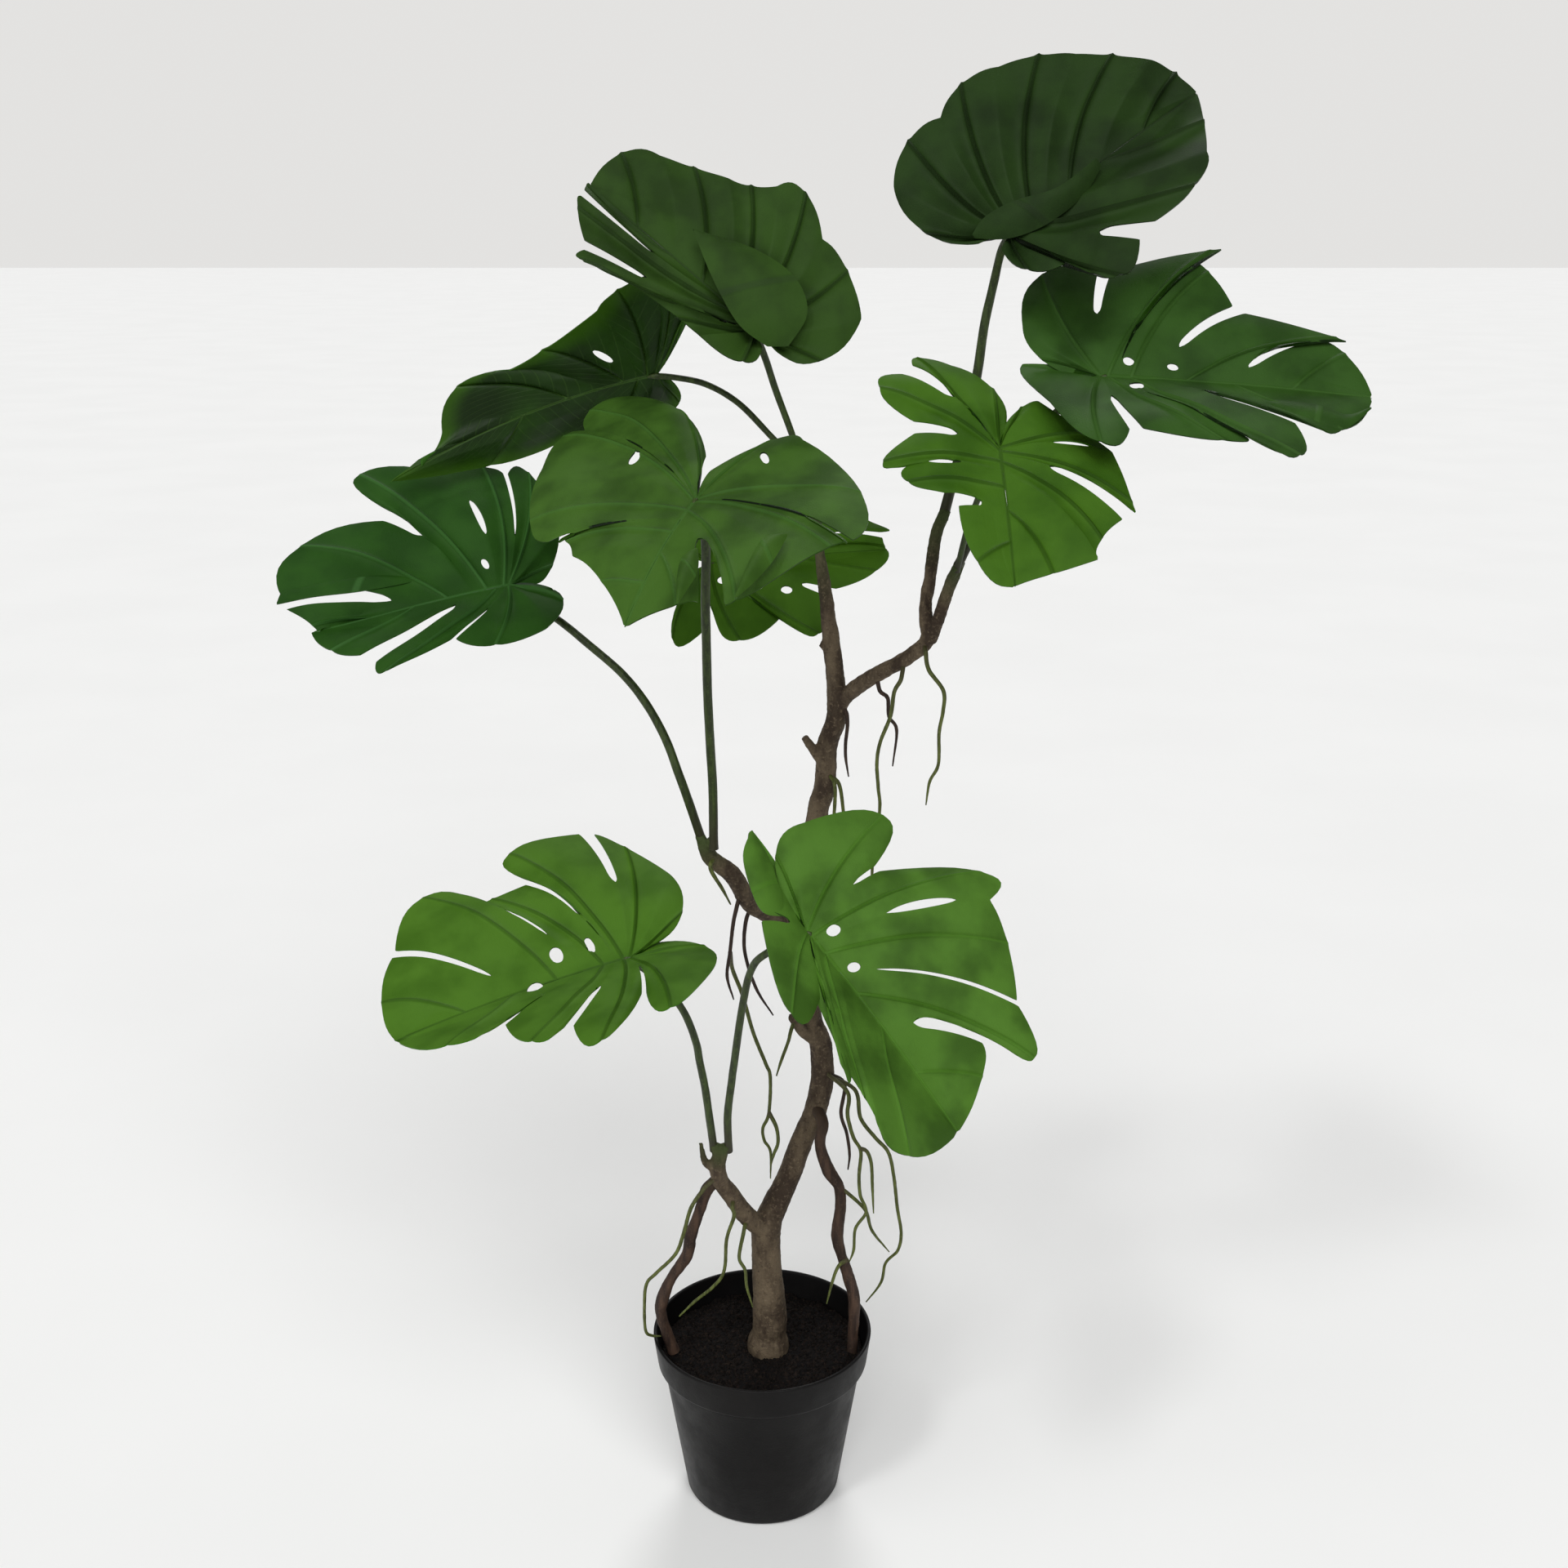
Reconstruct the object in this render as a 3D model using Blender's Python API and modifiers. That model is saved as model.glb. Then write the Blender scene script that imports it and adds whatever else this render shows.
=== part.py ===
"""Potted monstera: pot, soil, branching trunk, leaf stalks, split leaves and aerial roots.

Metres, +Z up.  The origin is the centre of the pot's foot.
All sizes in the tables are millimetres and degrees.
"""
import math

import bmesh
import bpy
import numpy as np
from mathutils import Vector

MM = 0.001

for old in list(bpy.data.objects):
    bpy.data.objects.remove(old, do_unlink=True)


# ---------------------------------------------------------------- materials
def material(name, rgb, roughness):
    mat = bpy.data.materials.new(name)
    mat.use_nodes = True
    shader = mat.node_tree.nodes["Principled BSDF"]
    shader.inputs["Base Color"].default_value = (*rgb, 1.0)
    shader.inputs["Roughness"].default_value = roughness
    mat.diffuse_color = (*rgb, 1.0)
    return mat


DARK_LEAF = material("leaf_deep_green", (0.018, 0.06, 0.012), 0.42)
MID_LEAF = material("leaf_mid_green", (0.03, 0.11, 0.015), 0.42)
LIGHT_LEAF = material("leaf_bright_green", (0.07, 0.2, 0.012), 0.42)
STALK = material("stalk_olive", (0.045, 0.055, 0.02), 0.5)
BARK = material("bark_brown", (0.09, 0.062, 0.045), 0.85)
ROOT = material("root_olive", (0.1, 0.105, 0.05), 0.7)
SOIL = material("soil_dark", (0.012, 0.010, 0.009), 0.95)
POT = material("pot_charcoal", (0.014, 0.014, 0.015), 0.5)


def finish(obj, mat):
    obj.data.materials.clear()
    obj.data.materials.append(mat)
    return obj


def outward(obj):
    """Turn every face outwards."""
    bm = bmesh.new()
    bm.from_mesh(obj.data)
    bmesh.ops.recalc_face_normals(bm, faces=bm.faces)
    if bm.calc_volume(signed=True) < 0:
        bmesh.ops.reverse_faces(bm, faces=bm.faces)
    bm.to_mesh(obj.data)
    bm.free()
    return obj


def baked(obj, name):
    """A plain mesh object holding obj's evaluated shape; obj is removed."""
    graph = bpy.context.evaluated_depsgraph_get()
    mesh = bpy.data.meshes.new_from_object(obj.evaluated_get(graph), depsgraph=graph)
    bpy.data.objects.remove(obj, do_unlink=True)
    mesh.name = name
    made = bpy.data.objects.new(name, mesh)
    bpy.context.collection.objects.link(made)
    return made


# ---------------------------------------------------------------- tubes
def tube(name, points, radii, sides=1):
    """A round strand through points (mm) with a radius (mm) at each point."""
    curve = bpy.data.curves.new(name, "CURVE")
    curve.dimensions = "3D"
    curve.bevel_depth = MM
    curve.bevel_resolution = sides
    curve.use_fill_caps = True
    spline = curve.splines.new("POLY")
    spline.points.add(len(points) - 1)
    count = len(points)
    for index, point in enumerate(points):
        spline.points[index].co = (*(Vector(point) * MM), 1.0)
        if len(radii) == count:
            spline.points[index].radius = radii[index]
        else:
            part = index / (count - 1)
            spline.points[index].radius = radii[0] + (radii[-1] - radii[0]) * part
    made = bpy.data.objects.new(name, curve)
    bpy.context.collection.objects.link(made)
    made = baked(made, name)
    bm = bmesh.new()
    bm.from_mesh(made.data)
    bmesh.ops.remove_doubles(bm, verts=bm.verts, dist=0.00002)
    bm.to_mesh(made.data)
    bm.free()
    return outward(made)


def joined(name, parts):
    """One solid grown together out of several overlapping ones."""
    first = parts[0]
    for other in parts[1:]:
        mod = first.modifiers.new("join", "BOOLEAN")
        mod.operation = "UNION"
        mod.solver = "EXACT"
        mod.object = other
        first = baked(first, name)
        bpy.data.objects.remove(other, do_unlink=True)
    bm = bmesh.new()
    bm.from_mesh(first.data)
    bmesh.ops.remove_doubles(bm, verts=bm.verts, dist=0.00005)
    bmesh.ops.dissolve_degenerate(bm, edges=bm.edges, dist=0.00002)
    bm.to_mesh(first.data)
    bm.free()
    return outward(first)


def knob(name, centre, size):
    """A rounded lump of wood; size is its three half-widths."""
    bm = bmesh.new()
    bmesh.ops.create_icosphere(bm, subdivisions=2, radius=1.0)
    bmesh.ops.scale(bm, vec=Vector(size) * MM, verts=bm.verts)
    bmesh.ops.translate(bm, vec=Vector(centre) * MM, verts=bm.verts)
    mesh = bpy.data.meshes.new(name)
    bm.to_mesh(mesh)
    bm.free()
    made = bpy.data.objects.new(name, mesh)
    bpy.context.collection.objects.link(made)
    return outward(made)


# ---------------------------------------------------------------- turned parts
def turned(name, profile, steps):
    """A solid of revolution; profile is (radius, height) from axis to axis."""
    bm = bmesh.new()
    row = [bm.verts.new((radius * MM, 0.0, height * MM)) for radius, height in profile]
    for low, high in zip(row, row[1:]):
        bm.edges.new((low, high))
    bmesh.ops.spin(bm, geom=bm.verts[:] + bm.edges[:], cent=(0, 0, 0), axis=(0, 0, 1),
                   angle=2 * math.pi, steps=steps, use_merge=True)
    bmesh.ops.remove_doubles(bm, verts=bm.verts, dist=0.00005)
    mesh = bpy.data.meshes.new(name)
    bm.to_mesh(mesh)
    bm.free()
    made = bpy.data.objects.new(name, mesh)
    bpy.context.collection.objects.link(made)
    return outward(made)


POT_PROFILE = (
    (0, 0), (50.5, 0), (52.5, 2), (67.8, 97.5), (71.4, 100), (74.4, 121), (74.0, 122), (72.6, 122),
    (72.0, 121.4), (69.2, 100.5), (66.0, 97), (50.4, 4), (0, 3),
)
SOIL_PROFILE = (
    (0, 4), (49.8, 5), (65.4, 97), (68.6, 103), (62, 104.5), (45, 104), (30, 106), (20.4, 107.5),
    (20.2, 95), (19.6, 91), (0, 90),
)

finish(turned("pot", POT_PROFILE, 40), POT)
finish(turned("soil", SOIL_PROFILE, 28), SOIL)

# ---------------------------------------------------------------- trunk
MAIN = (
    (3, 0, 108), (5, 0, 124), (5, 0, 140), (4, 0, 158), (3, 0, 174), (3, 0, 199), (8, 2, 213), (18, 5, 235),
    (27, 8, 260), (35, 10, 279), (39, 12, 294), (41, 14, 309), (39, 16, 329), (33, 18, 344), (32, 20, 364),
    (29, 20, 384), (29, 20, 419), (32, 20, 453), (37, 20, 491), (41, 20, 505), (42, 20, 522), (43, 20, 536),
    (48, 18, 551), (48, 16, 568), (47, 15, 582), (45, 15, 599), (43, 15, 615), (41, 15, 631), (39, 15, 645),
    (37, 15, 658), (34, 15, 683), (28, 17, 702),
)
MAIN_RADII = (
    11.5, 12, 11.5, 10.5, 10, 10, 9, 8, 7.6, 7.6, 7.8, 8, 7.6, 7.6, 7.4,
    7.4, 7.2, 7, 6.9, 7.2, 6.8, 6.6, 6.6, 6.2, 6, 5.6, 5, 4.4, 3.8,
    3.4, 3.3, 3.4,
)
trunk = [
    tube("trunk", MAIN, MAIN_RADII, 2),
    knob("bulb", (4, 0, 108), (14.5, 14, 16)),
    tube("low_left", ((3, 0, 196), (-10, -12, 215), (-19, -22, 235), (-27, -30, 252), (-28, -35, 266), (-26, -35, 276)),
         (7, 6.5, 6, 5.6, 5.2, 5), 2),
    tube("fork_i", ((-27, -35, 268), (-30, -37, 282)), (4, 3), 1),
    tube("fork_j", ((-27, -35, 268), (-22, -38, 282)), (4, 3), 1),
    tube("mid_left", ((29, 20, 385), (11, 0, 422), (-6, -20, 442), (-17, -30, 464), (-30, -35, 477), (-34, -38, 487)),
         (6.5, 6.5, 6.4, 5.8, 5.2, 4.8), 2),
    tube("fork_d", ((-33, -37, 481), (-37, -37, 493)), (4, 3), 1),
    tube("fork_e", ((-33, -37, 481), (-29, -43, 492)), (4, 3), 1),
    tube("up_right", ((48, 17, 558), (56, 9, 571), (70, -5, 585), (85, -15, 596), (98, -22, 607), (103, -25, 617)),
         (5, 5, 5, 4.8, 4.6, 4.6), 2),
    tube("fork_a", ((102, -25, 612), (100, -22, 631), (103, -15, 650), (106, -10, 672), (112, -5, 688)),
         (4.2, 4.2, 4, 3.8, 3.6), 2),
    tube("fork_h", ((103, -25, 612), (107, -31, 626), (112, -35, 644), (119, -40, 664)), (4.2, 4, 3.8, 3.4), 2),
    tube("fork_g", ((112, -36, 648), (116, -46, 661)), (3, 2.2), 1),
    tube("stub_high", ((43, 20, 520), (36, 18, 528), (28, 15, 541)), (4, 3.2, 2.4), 1),
    tube("stub_low", ((38, 16, 330), (28, 8, 340), (20, 0, 355)), (4.5, 4, 2.8), 1),
    tube("stub_left", ((-27, -34, 262), (-36, -36, 268), (-39, -36, 282)), (3.4, 2.6, 1.4), 1),
    tube("stub_side", ((44, 15, 598), (38, 12, 602)), (4, 2.2), 1),
    tube("fork_b", ((29, 17, 699), (24, 15, 716)), (2.6, 2.1), 1),
    tube("fork_c", ((29, 17, 699), (19, 27, 714)), (2.6, 2.1), 1),
    tube("fork_f", ((47, 15, 583), (47, 24, 586)), (3.4, 2.4), 1),
]
finish(joined("trunk", trunk), BARK)

# ---------------------------------------------------------------- leaves
def lobe(vein, edge, slit=None, hole=None, curl=-22, lift=None, blunt=2.6):
    """One finger of a blade: its own vein and the edge that ends it.

    vein, edge: (angle off the midrib, reach) seen from the stalk end.
    slit: (start, width) of the cut along the edge; hole: (from, to, width).
    curl: turning of the finger out of the blade's plane along its length.
    blunt: how square the end of the finger is.
    """
    if lift is None:
        lift = -curl / 3
    return dict(vein=vein, edge=edge, slit=slit, hole=hole, curl=curl, lift=lift, blunt=blunt)


LEAVES = {
    "a": dict(mat=DARK_LEAF, at=(142, -30, 847), heading=(16, 37), roll=45, length=139, fold=12, droop=10,
              left=((156, 18), lobe((137, 49), (115, 73)),
                    lobe((94, 84), (78, 83)),
                    lobe((66, 99), (53, 104)),
                    lobe((41, 113), (31, 118)),
                    lobe((22, 127), (13, 136)),
                    lobe((7, 140), (0, 139))),
              right=((150, 12), lobe((25, 51), (16, 66), curl=150, lift=-10),
                    lobe((75, 77), (51, 79), slit=(0.68, 14)),
                    lobe((34, 106), (23, 117)),
                    lobe((10, 128), (0, 139)))),
    "b": dict(mat=DARK_LEAF, at=(-2, -10, 793), heading=(163, 40), roll=-50, length=131, fold=12, droop=8,
              left=((150, 12), lobe((313, 64), (-4, 70), curl=140, lift=0, blunt=2.0),
                    lobe((24, 54), (27, 88)),
                    lobe((26, 108), (20, 110), slit=(0.6, 7)),
                    lobe((9, 127), (4, 131), slit=(0.45, 7)),
                    lobe((0, 134), (0, 131))),
              right=((180, 16), lobe((162, 43), (130, 64)),
                    lobe((103, 67), (83, 68)),
                    lobe((67, 90), (56, 89)),
                    lobe((46, 89), (38, 94)),
                    lobe((28, 107), (20, 121)),
                    lobe((12, 135), (0, 131)))),
    "c": dict(mat=MID_LEAF, at=(-64, 50, 763), heading=(176, -12), roll=60, length=178, fold=5, droop=36,
              left=((140, 9), lobe((130, 45), (127, 73)),
                    lobe((110, 85), (105, 69)),
                    lobe((83, 62), (66, 56)),
                    lobe((29, 72), (18, 94)),
                    lobe((15, 123), (4, 137)),
                    lobe((0, 154), (0, 173))),
              right=((150, 8), lobe((110, 26), (65, 34)),
                    lobe((40, 58), (24, 82)),
                    lobe((13, 120), (0, 173)))),
    "d": dict(mat=DARK_LEAF, at=(-154, 10, 639), heading=(-156, -7), roll=-34, length=123, fold=12, droop=6,
              left=((141, 19), lobe((135, 37), (96, 54)),
                    lobe((64, 63), (41, 66), slit=(0.47, 3)),
                    lobe((32, 113), (23, 108), slit=(0.22, 14), blunt=1.7),
                    lobe((11, 120), (0, 123))),
              right=((194, 14), lobe((166, 32), (139, 61)),
                    lobe((116, 89), (106, 85), slit=(0.42, 3)),
                    lobe((97, 91), (83, 92), hole=(0.4, 0.7, 4)),
                    lobe((57, 121), (51, 85), slit=(0.68, 14)),
                    lobe((28, 129), (10, 141), slit=(0.18, 14)),
                    lobe((2, 122), (0, 123)))),
    "e": dict(mat=DARK_LEAF, at=(-33, -100, 708), heading=(-116, -24), roll=0, length=98, fold=-2, droop=22,
              left=((190, 29), lobe((167, 69), (154, 78)),
                    lobe((103, 94), (77, 107), slit=(0.68, 5)),
                    lobe((73, 98), (56, 96)),
                    lobe((37, 102), (30, 98), slit=(0.35, 16)),
                    lobe((17, 87), (0, 93))),
              right=((160, 48), lobe((148, 116), (137, 157)),
                    lobe((128, 158), (121, 126), slit=(0.86, 3)),
                    lobe((117, 140), (102, 120)),
                    lobe((74, 100), (57, 85), slit=(0.82, 8)),
                    lobe((57, 77), (44, 76)),
                    lobe((20, 76), (0, 93)))),
    "f": dict(mat=LIGHT_LEAF, at=(-33, 90, 638), heading=(-7, 7), roll=48, length=116, fold=6, droop=5,
              left=((160, 12), lobe((130, 50), (105, 54)),
                    lobe((78, 58), (58, 62)),
                    lobe((11, 108), (5, 115), slit=(0.65, 5)),
                    lobe((1, 116), (0, 116))),
              right=((160, 12), lobe((112, 64), (85, 49), slit=(0.7, 6)),
                    lobe((72, 69), (45, 70), slit=(0.8, 5)),
                    lobe((42, 98), (22, 86), slit=(0.7, 8)),
                    lobe((9, 111), (0, 116)))),
    "g": dict(mat=LIGHT_LEAF, at=(134, -85, 734), heading=(-87, -38), roll=0, length=92, fold=5, droop=14,
              left=((163, 18), lobe((153, 34), (143, 43)),
                    lobe((95, 52), (80, 63), hole=(0.45, 0.79, 4)),
                    lobe((55, 83), (49, 85), slit=(0.35, 9)),
                    lobe((34, 86), (28, 95)),
                    lobe((13, 90), (0, 90))),
              right=((196, 19), lobe((182, 47), (161, 67)),
                    lobe((150, 81), (141, 75), slit=(0.57, 11), blunt=2.0),
                    lobe((123, 78), (106, 45), slit=(0.55, 12)),
                    lobe((78, 69), (73, 55), hole=(0.45, 0.79, 4)),
                    lobe((63, 61), (38, 46), slit=(0.5, 12)),
                    lobe((14, 81), (0, 90)))),
    "h": dict(mat=DARK_LEAF, at=(193, -50, 770), heading=(-4, -2), roll=37, length=154, fold=14, droop=6,
              left=((196, 9), lobe((161, 35), (144, 55)),
                    lobe((116, 78), (88, 73), slit=(0.55, 7)),
                    lobe((55, 112), (58, 95), slit=(0.35, 7)),
                    lobe((51, 100), (33, 94), slit=(0.35, 8)),
                    lobe((15, 140), (17, 123), slit=(0.25, 9)),
                    lobe((11, 142), (0, 154))),
              right=((146, 11), lobe((196, 45), (132, 43)),
                    lobe((92, 75), (74, 60), slit=(0.47, 8)),
                    lobe((46, 93), (39, 100), slit=(0.3, 3)),
                    lobe((37, 130), (18, 111), slit=(0.38, 16)),
                    lobe((18, 138), (0, 154)))),
    "i": dict(mat=LIGHT_LEAF, at=(-78, -75, 427), heading=(-162, -10), roll=-10, length=146, fold=14, droop=8,
              left=((213, 23), lobe((165, 46), (126, 67)),
                    lobe((91, 96), (85, 59), slit=(0.47, 8)),
                    lobe((69, 119), (55, 93), slit=(0.5, 8)),
                    lobe((47, 113), (25, 96), slit=(0.8, 7)),
                    lobe((20, 128), (0, 146))),
              right=((162, 19), lobe((148, 50), (127, 74)),
                    lobe((105, 98), (93, 117), slit=(0.53, 10)),
                    lobe((68, 125), (65, 96), slit=(0.45, 6)),
                    lobe((51, 106), (47, 106), slit=(0.42, 5)),
                    lobe((44, 148), (26, 149), slit=(0.23, 5)),
                    lobe((12, 152), (0, 146)))),
    "j": dict(mat=MID_LEAF, at=(28, -115, 460), heading=(-28, -44), roll=22, length=145, fold=17, droop=10,
              left=((176, 15), lobe((162, 49), (142, 66)),
                    lobe((107, 88), (93, 56), slit=(0.72, 6)),
                    lobe((71, 116), (62, 115), hole=(0.42, 0.79, 5)),
                    lobe((49, 123), (34, 134), slit=(0.22, 2.5)),
                    lobe((24, 155), (24, 119), slit=(0.3, 14)),
                    lobe((14, 133), (0, 143))),
              right=((170, 15), lobe((197, 71), (135, 33), slit=(0.4, 6)),
                    lobe((60, 66), (35, 41), slit=(0.5, 6)),
                    lobe((35, 90), (32, 95)),
                    lobe((29, 107), (27, 120)),
                    lobe((20, 143), (0, 143)))),
}
BOW = 14


class Blade:
    """The surface of one split leaf, from its table of fingers."""

    def __init__(self, data, rows, columns):
        self.data, self.rows, self.columns = data, rows, columns
        azimuth, rise = (math.radians(value) for value in data["heading"])
        self.heading = np.array([math.cos(azimuth) * math.cos(rise), math.sin(azimuth) * math.cos(rise), math.sin(rise)])
        up = np.array([0.0, 0.0, 1.0]) - self.heading[2] * self.heading
        up /= np.linalg.norm(up)
        side = np.cross(up, self.heading)
        roll = math.radians(data["roll"])
        self.side = side * math.cos(roll) + up * math.sin(roll)
        self.up = up * math.cos(roll) - side * math.sin(roll)
        self.at = np.array(data["at"], float)

    def spine(self, part):
        """Point and direction of the midrib at a part of its length."""
        bend = math.radians(self.data["droop"])
        length = self.data["length"]
        point = self.at.copy()
        steps = 24
        for index in range(steps):
            lower, upper = part * index / steps, part * (index + 1) / steps
            angle = -bend * (lower + upper) / 2
            point = point + (self.heading * math.cos(angle) + self.up * math.sin(angle)) * length * (upper - lower)
        angle = -bend * part
        along = self.heading * math.cos(angle) + self.up * math.sin(angle)
        normal = self.up * math.cos(angle) - self.heading * math.sin(angle)
        return point, along, normal

    def root(self, share):
        part = share ** 4
        return 0.0 if part * self.data["length"] < 2.5 else part

    def ray(self, hand, share, angle, reach, lift, curl):
        """Points from the midrib out to the margin."""
        part = self.root(share)
        length = self.data["length"]
        start, along, normal = self.spine(part)
        if part > 0.999:
            return np.repeat(start[None, :], self.rows + 1, axis=0)
        fold = math.radians(self.data["fold"])
        out = hand * self.side * math.cos(fold) + normal * math.sin(fold)
        face = normal * math.cos(fold) - hand * self.side * math.sin(fold)
        turn = math.radians(angle)
        run = reach * math.cos(turn) - part * length
        across = reach * math.sin(turn)
        total, heading = math.hypot(run, across), math.atan2(across, run)
        bow = math.radians(BOW) * min(1.0, total / 60) * (1 if angle < 150 else 0)
        points, point = [start], start.copy()
        steps = 4
        for row in range(self.rows):
            for step in range(steps):
                t = (row + (step + 0.5) / steps) / self.rows
                yaw = heading + bow * (1 - 2 * t)
                rise = math.radians(lift + curl * t * t)
                flat = along * math.cos(yaw) + out * math.sin(yaw)
                point = point + (flat * math.cos(rise) + face * math.sin(rise)) * total / (self.rows * steps)
            points.append(point)
        return np.array(points)

    @staticmethod
    def gap(lobe_data, t):
        """Width of the cut along a lobe's edge at t."""
        wide = 0.0
        if lobe_data["slit"]:
            start, width = lobe_data["slit"]
            if t > start + 1e-6:
                x = (t - start) / (1 - start)
                wide = width * (0.45 * min(1.0, math.sqrt(x / 0.12)) + 0.55 * x)
        if lobe_data["hole"]:
            first, last, width = lobe_data["hole"]
            if first + 1e-6 < t < last - 1e-6:
                wide = max(wide, width * math.sqrt(math.sin(math.pi * (t - first) / (last - first))))
        return wide

    def half(self, hand, key):
        """Grids of points, one per finger, from the sinus to the tip."""
        sinus, *lobes = self.data[key]
        counts = [2] * len(lobes)
        spare = self.columns // 2 - len(lobes)
        for index in range(spare):
            counts[-1 - index % len(lobes)] += 2
        edges = [(sinus, None)] + [(item["edge"], item) for item in lobes]
        grids, column = [], 0
        for index, item in enumerate(lobes):
            first, last = column / self.columns, (column + counts[index]) / self.columns
            middle = (first + last) / 2
            lift, curl = item["lift"], item["curl"]
            before = lobes[index - 1] if index else item
            after = lobes[index + 1] if index + 1 < len(lobes) else item
            rays = []
            for share, (angle, reach), other, cut in ((first, edges[index][0], before, edges[index][1]),
                                                      (last, item["edge"], after, item)):
                mean = self.ray(hand, share, angle, reach, (lift + other["lift"]) / 2, (curl + other["curl"]) / 2)
                if cut and cut["slit"] and other is not item:
                    own = self.ray(hand, share, angle, reach, lift, curl)
                    start = cut["slit"][0]
                    blend = np.array([max(0.0, (row / self.rows - start) / (1 - start)) for row in range(self.rows + 1)])
                    blend = (blend * blend * (3 - 2 * blend))[:, None]
                    mean = mean * (1 - blend) + own * blend
                rays.append(mean)
            vein = self.ray(hand, middle, *item["vein"], lift, curl)
            grid = np.zeros((counts[index] + 1, self.rows + 1, 3))
            for step in range(counts[index] + 1):
                c = step / counts[index]
                bulge = 1 - abs(2 * c - 1) ** item["blunt"]
                line = rays[0] * (1 - c) + rays[1] * c + bulge * (vein - (rays[0] + rays[1]) / 2)
                seat = self.spine(self.root((column + step) / self.columns))[0]
                for row in range(self.rows + 1):
                    fade = (1 - row / self.rows) ** 2
                    grid[step, row] = line[row] + (seat - line[row]) * fade if row == 0 else line[row]
            for row in range(1, self.rows + 1):
                t = row / self.rows
                for end, cut in ((0, edges[index][1]), (counts[index], item)):
                    if cut is None or (cut is item and index == len(lobes) - 1):
                        continue
                    wide = self.gap(cut, t) / 2
                    if wide < 0.3:
                        continue
                    inward = vein[row] - grid[end, row]
                    room = np.linalg.norm(inward)
                    grid[end, row] += inward / room * min(wide, 0.75 * room)
            grids.append(grid)
            column += counts[index]
        return grids

    def build(self, name, mat):
        bm = bmesh.new()
        for hand, key in ((1, "left"), (-1, "right")):
            for grid in self.half(hand, key):
                wide, tall = grid.shape[0] - 1, grid.shape[1] - 1
                made = bmesh.ops.create_grid(bm, x_segments=wide, y_segments=tall, size=1.0)["verts"]
                made.sort(key=lambda vert: (round(vert.co.x, 4), round(vert.co.y, 4)))
                for index, vert in enumerate(made):
                    vert.co = Vector(grid[index // (tall + 1), index % (tall + 1)]) * MM
                if hand < 0:
                    faces = list({face for vert in made for face in vert.link_faces})
                    bmesh.ops.reverse_faces(bm, faces=faces)
        bmesh.ops.remove_doubles(bm, verts=bm.verts, dist=0.0001)
        bmesh.ops.dissolve_degenerate(bm, edges=bm.edges, dist=0.0001)
        bmesh.ops.recalc_face_normals(bm, faces=bm.faces)
        bmesh.ops.triangulate(bm, faces=bm.faces)
        mesh = bpy.data.meshes.new(name)
        bm.to_mesh(mesh)
        bm.free()
        made = bpy.data.objects.new(name, mesh)
        bpy.context.collection.objects.link(made)
        thick = made.modifiers.new("thickness", "SOLIDIFY")
        thick.thickness = 0.0012
        thick.offset = 0.0
        thick.use_even_offset = False
        made = baked(made, name)
        return finish(outward(made), mat)


blades = {}
for letter, table in LEAVES.items():
    blade = Blade(table, rows=5, columns=12)
    blades[letter] = blade
    blade.build("leaf_" + letter, table["mat"])

# ---------------------------------------------------------------- leaf stalks
STALKS = {
    "a": (((112, -5, 689), (122, 0, 729), (129, 0, 767), (132, -5, 796), (136, -10, 819), (139, -19, 838)), 3.2, 2.2),
    "b": (((24, 15, 717), (20, 15, 730), (10, 12, 757), (4, 3, 776)), 2.0, 2.2),
    "c": (((19, 28, 715), (7, 35, 727), (-13, 45, 746), (-33, 50, 757), (-51, 50, 761)), 2.0, 1.9),
    "d": (((-37, -37, 494), (-44, -40, 518), (-49, -40, 533), (-57, -35, 554), (-69, -30, 575), (-84, -20, 591),
           (-104, -10, 606), (-123, 0, 619), (-142, 6, 630)), 2.8, 2.2),
    "e": (((-28, -44, 493), (-28, -46, 524), (-29, -51, 552), (-30, -58, 588), (-30, -67, 626), (-30, -73, 645),
           (-29, -84, 682)), 2.8, 2.6),
    "f": (((47, 25, 587), (48, 58, 592), (36, 86, 604), (8, 101, 618), (-16, 103, 629)), 2.2, 1.8),
    "g": (((117, -47, 664), (121, -58, 688), (127, -70, 710), (132, -80, 722)), 1.8, 1.8),
    "h": (((120, -41, 667), (134, -40, 696), (152, -37, 726), (172, -40, 750)), 2.6, 2.0),
    "i": (((-31, -37, 283), (-33, -45, 307), (-35, -50, 328), (-38, -55, 349), (-40, -60, 365), (-47, -66, 388),
           (-60, -71, 409)), 2.6, 2.2),
    "j": (((-21, -38, 283), (-21, -45, 307), (-18, -55, 335), (-16, -62, 352), (-10, -80, 399), (-4, -93, 428),
           (6, -105, 443)), 2.6, 2.2),
}
for letter, (points, thick, thin) in STALKS.items():
    blade = blades[letter]
    end = tuple(blade.at - blade.up * 3.4)
    finish(tube("stalk_" + letter, points + (end,), (thick, thin), 1), STALK)

# ---------------------------------------------------------------- roots
PROP_ROOTS = {
    "prop_root_left": ((-36, -24, 241), (-41, -26, 226), (-47, -23, 207), (-50, -20, 190), (-61, -18, 171),
                       (-67, -16, 155), (-69, -13, 142), (-66, -10, 126), (-61, -8, 108)),
    "prop_root_right": ((41, -2, 278), (39, -2, 263), (45, -3, 244), (52, -3, 232), (53, -4, 216), (51, -4, 196),
                        (54, -5, 181), (59, -5, 164), (63, -6, 146), (62, -6, 106)),
}
for label, points in PROP_ROOTS.items():
    finish(tube(label, points, (3.6, 3.6), 1), BARK)

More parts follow.
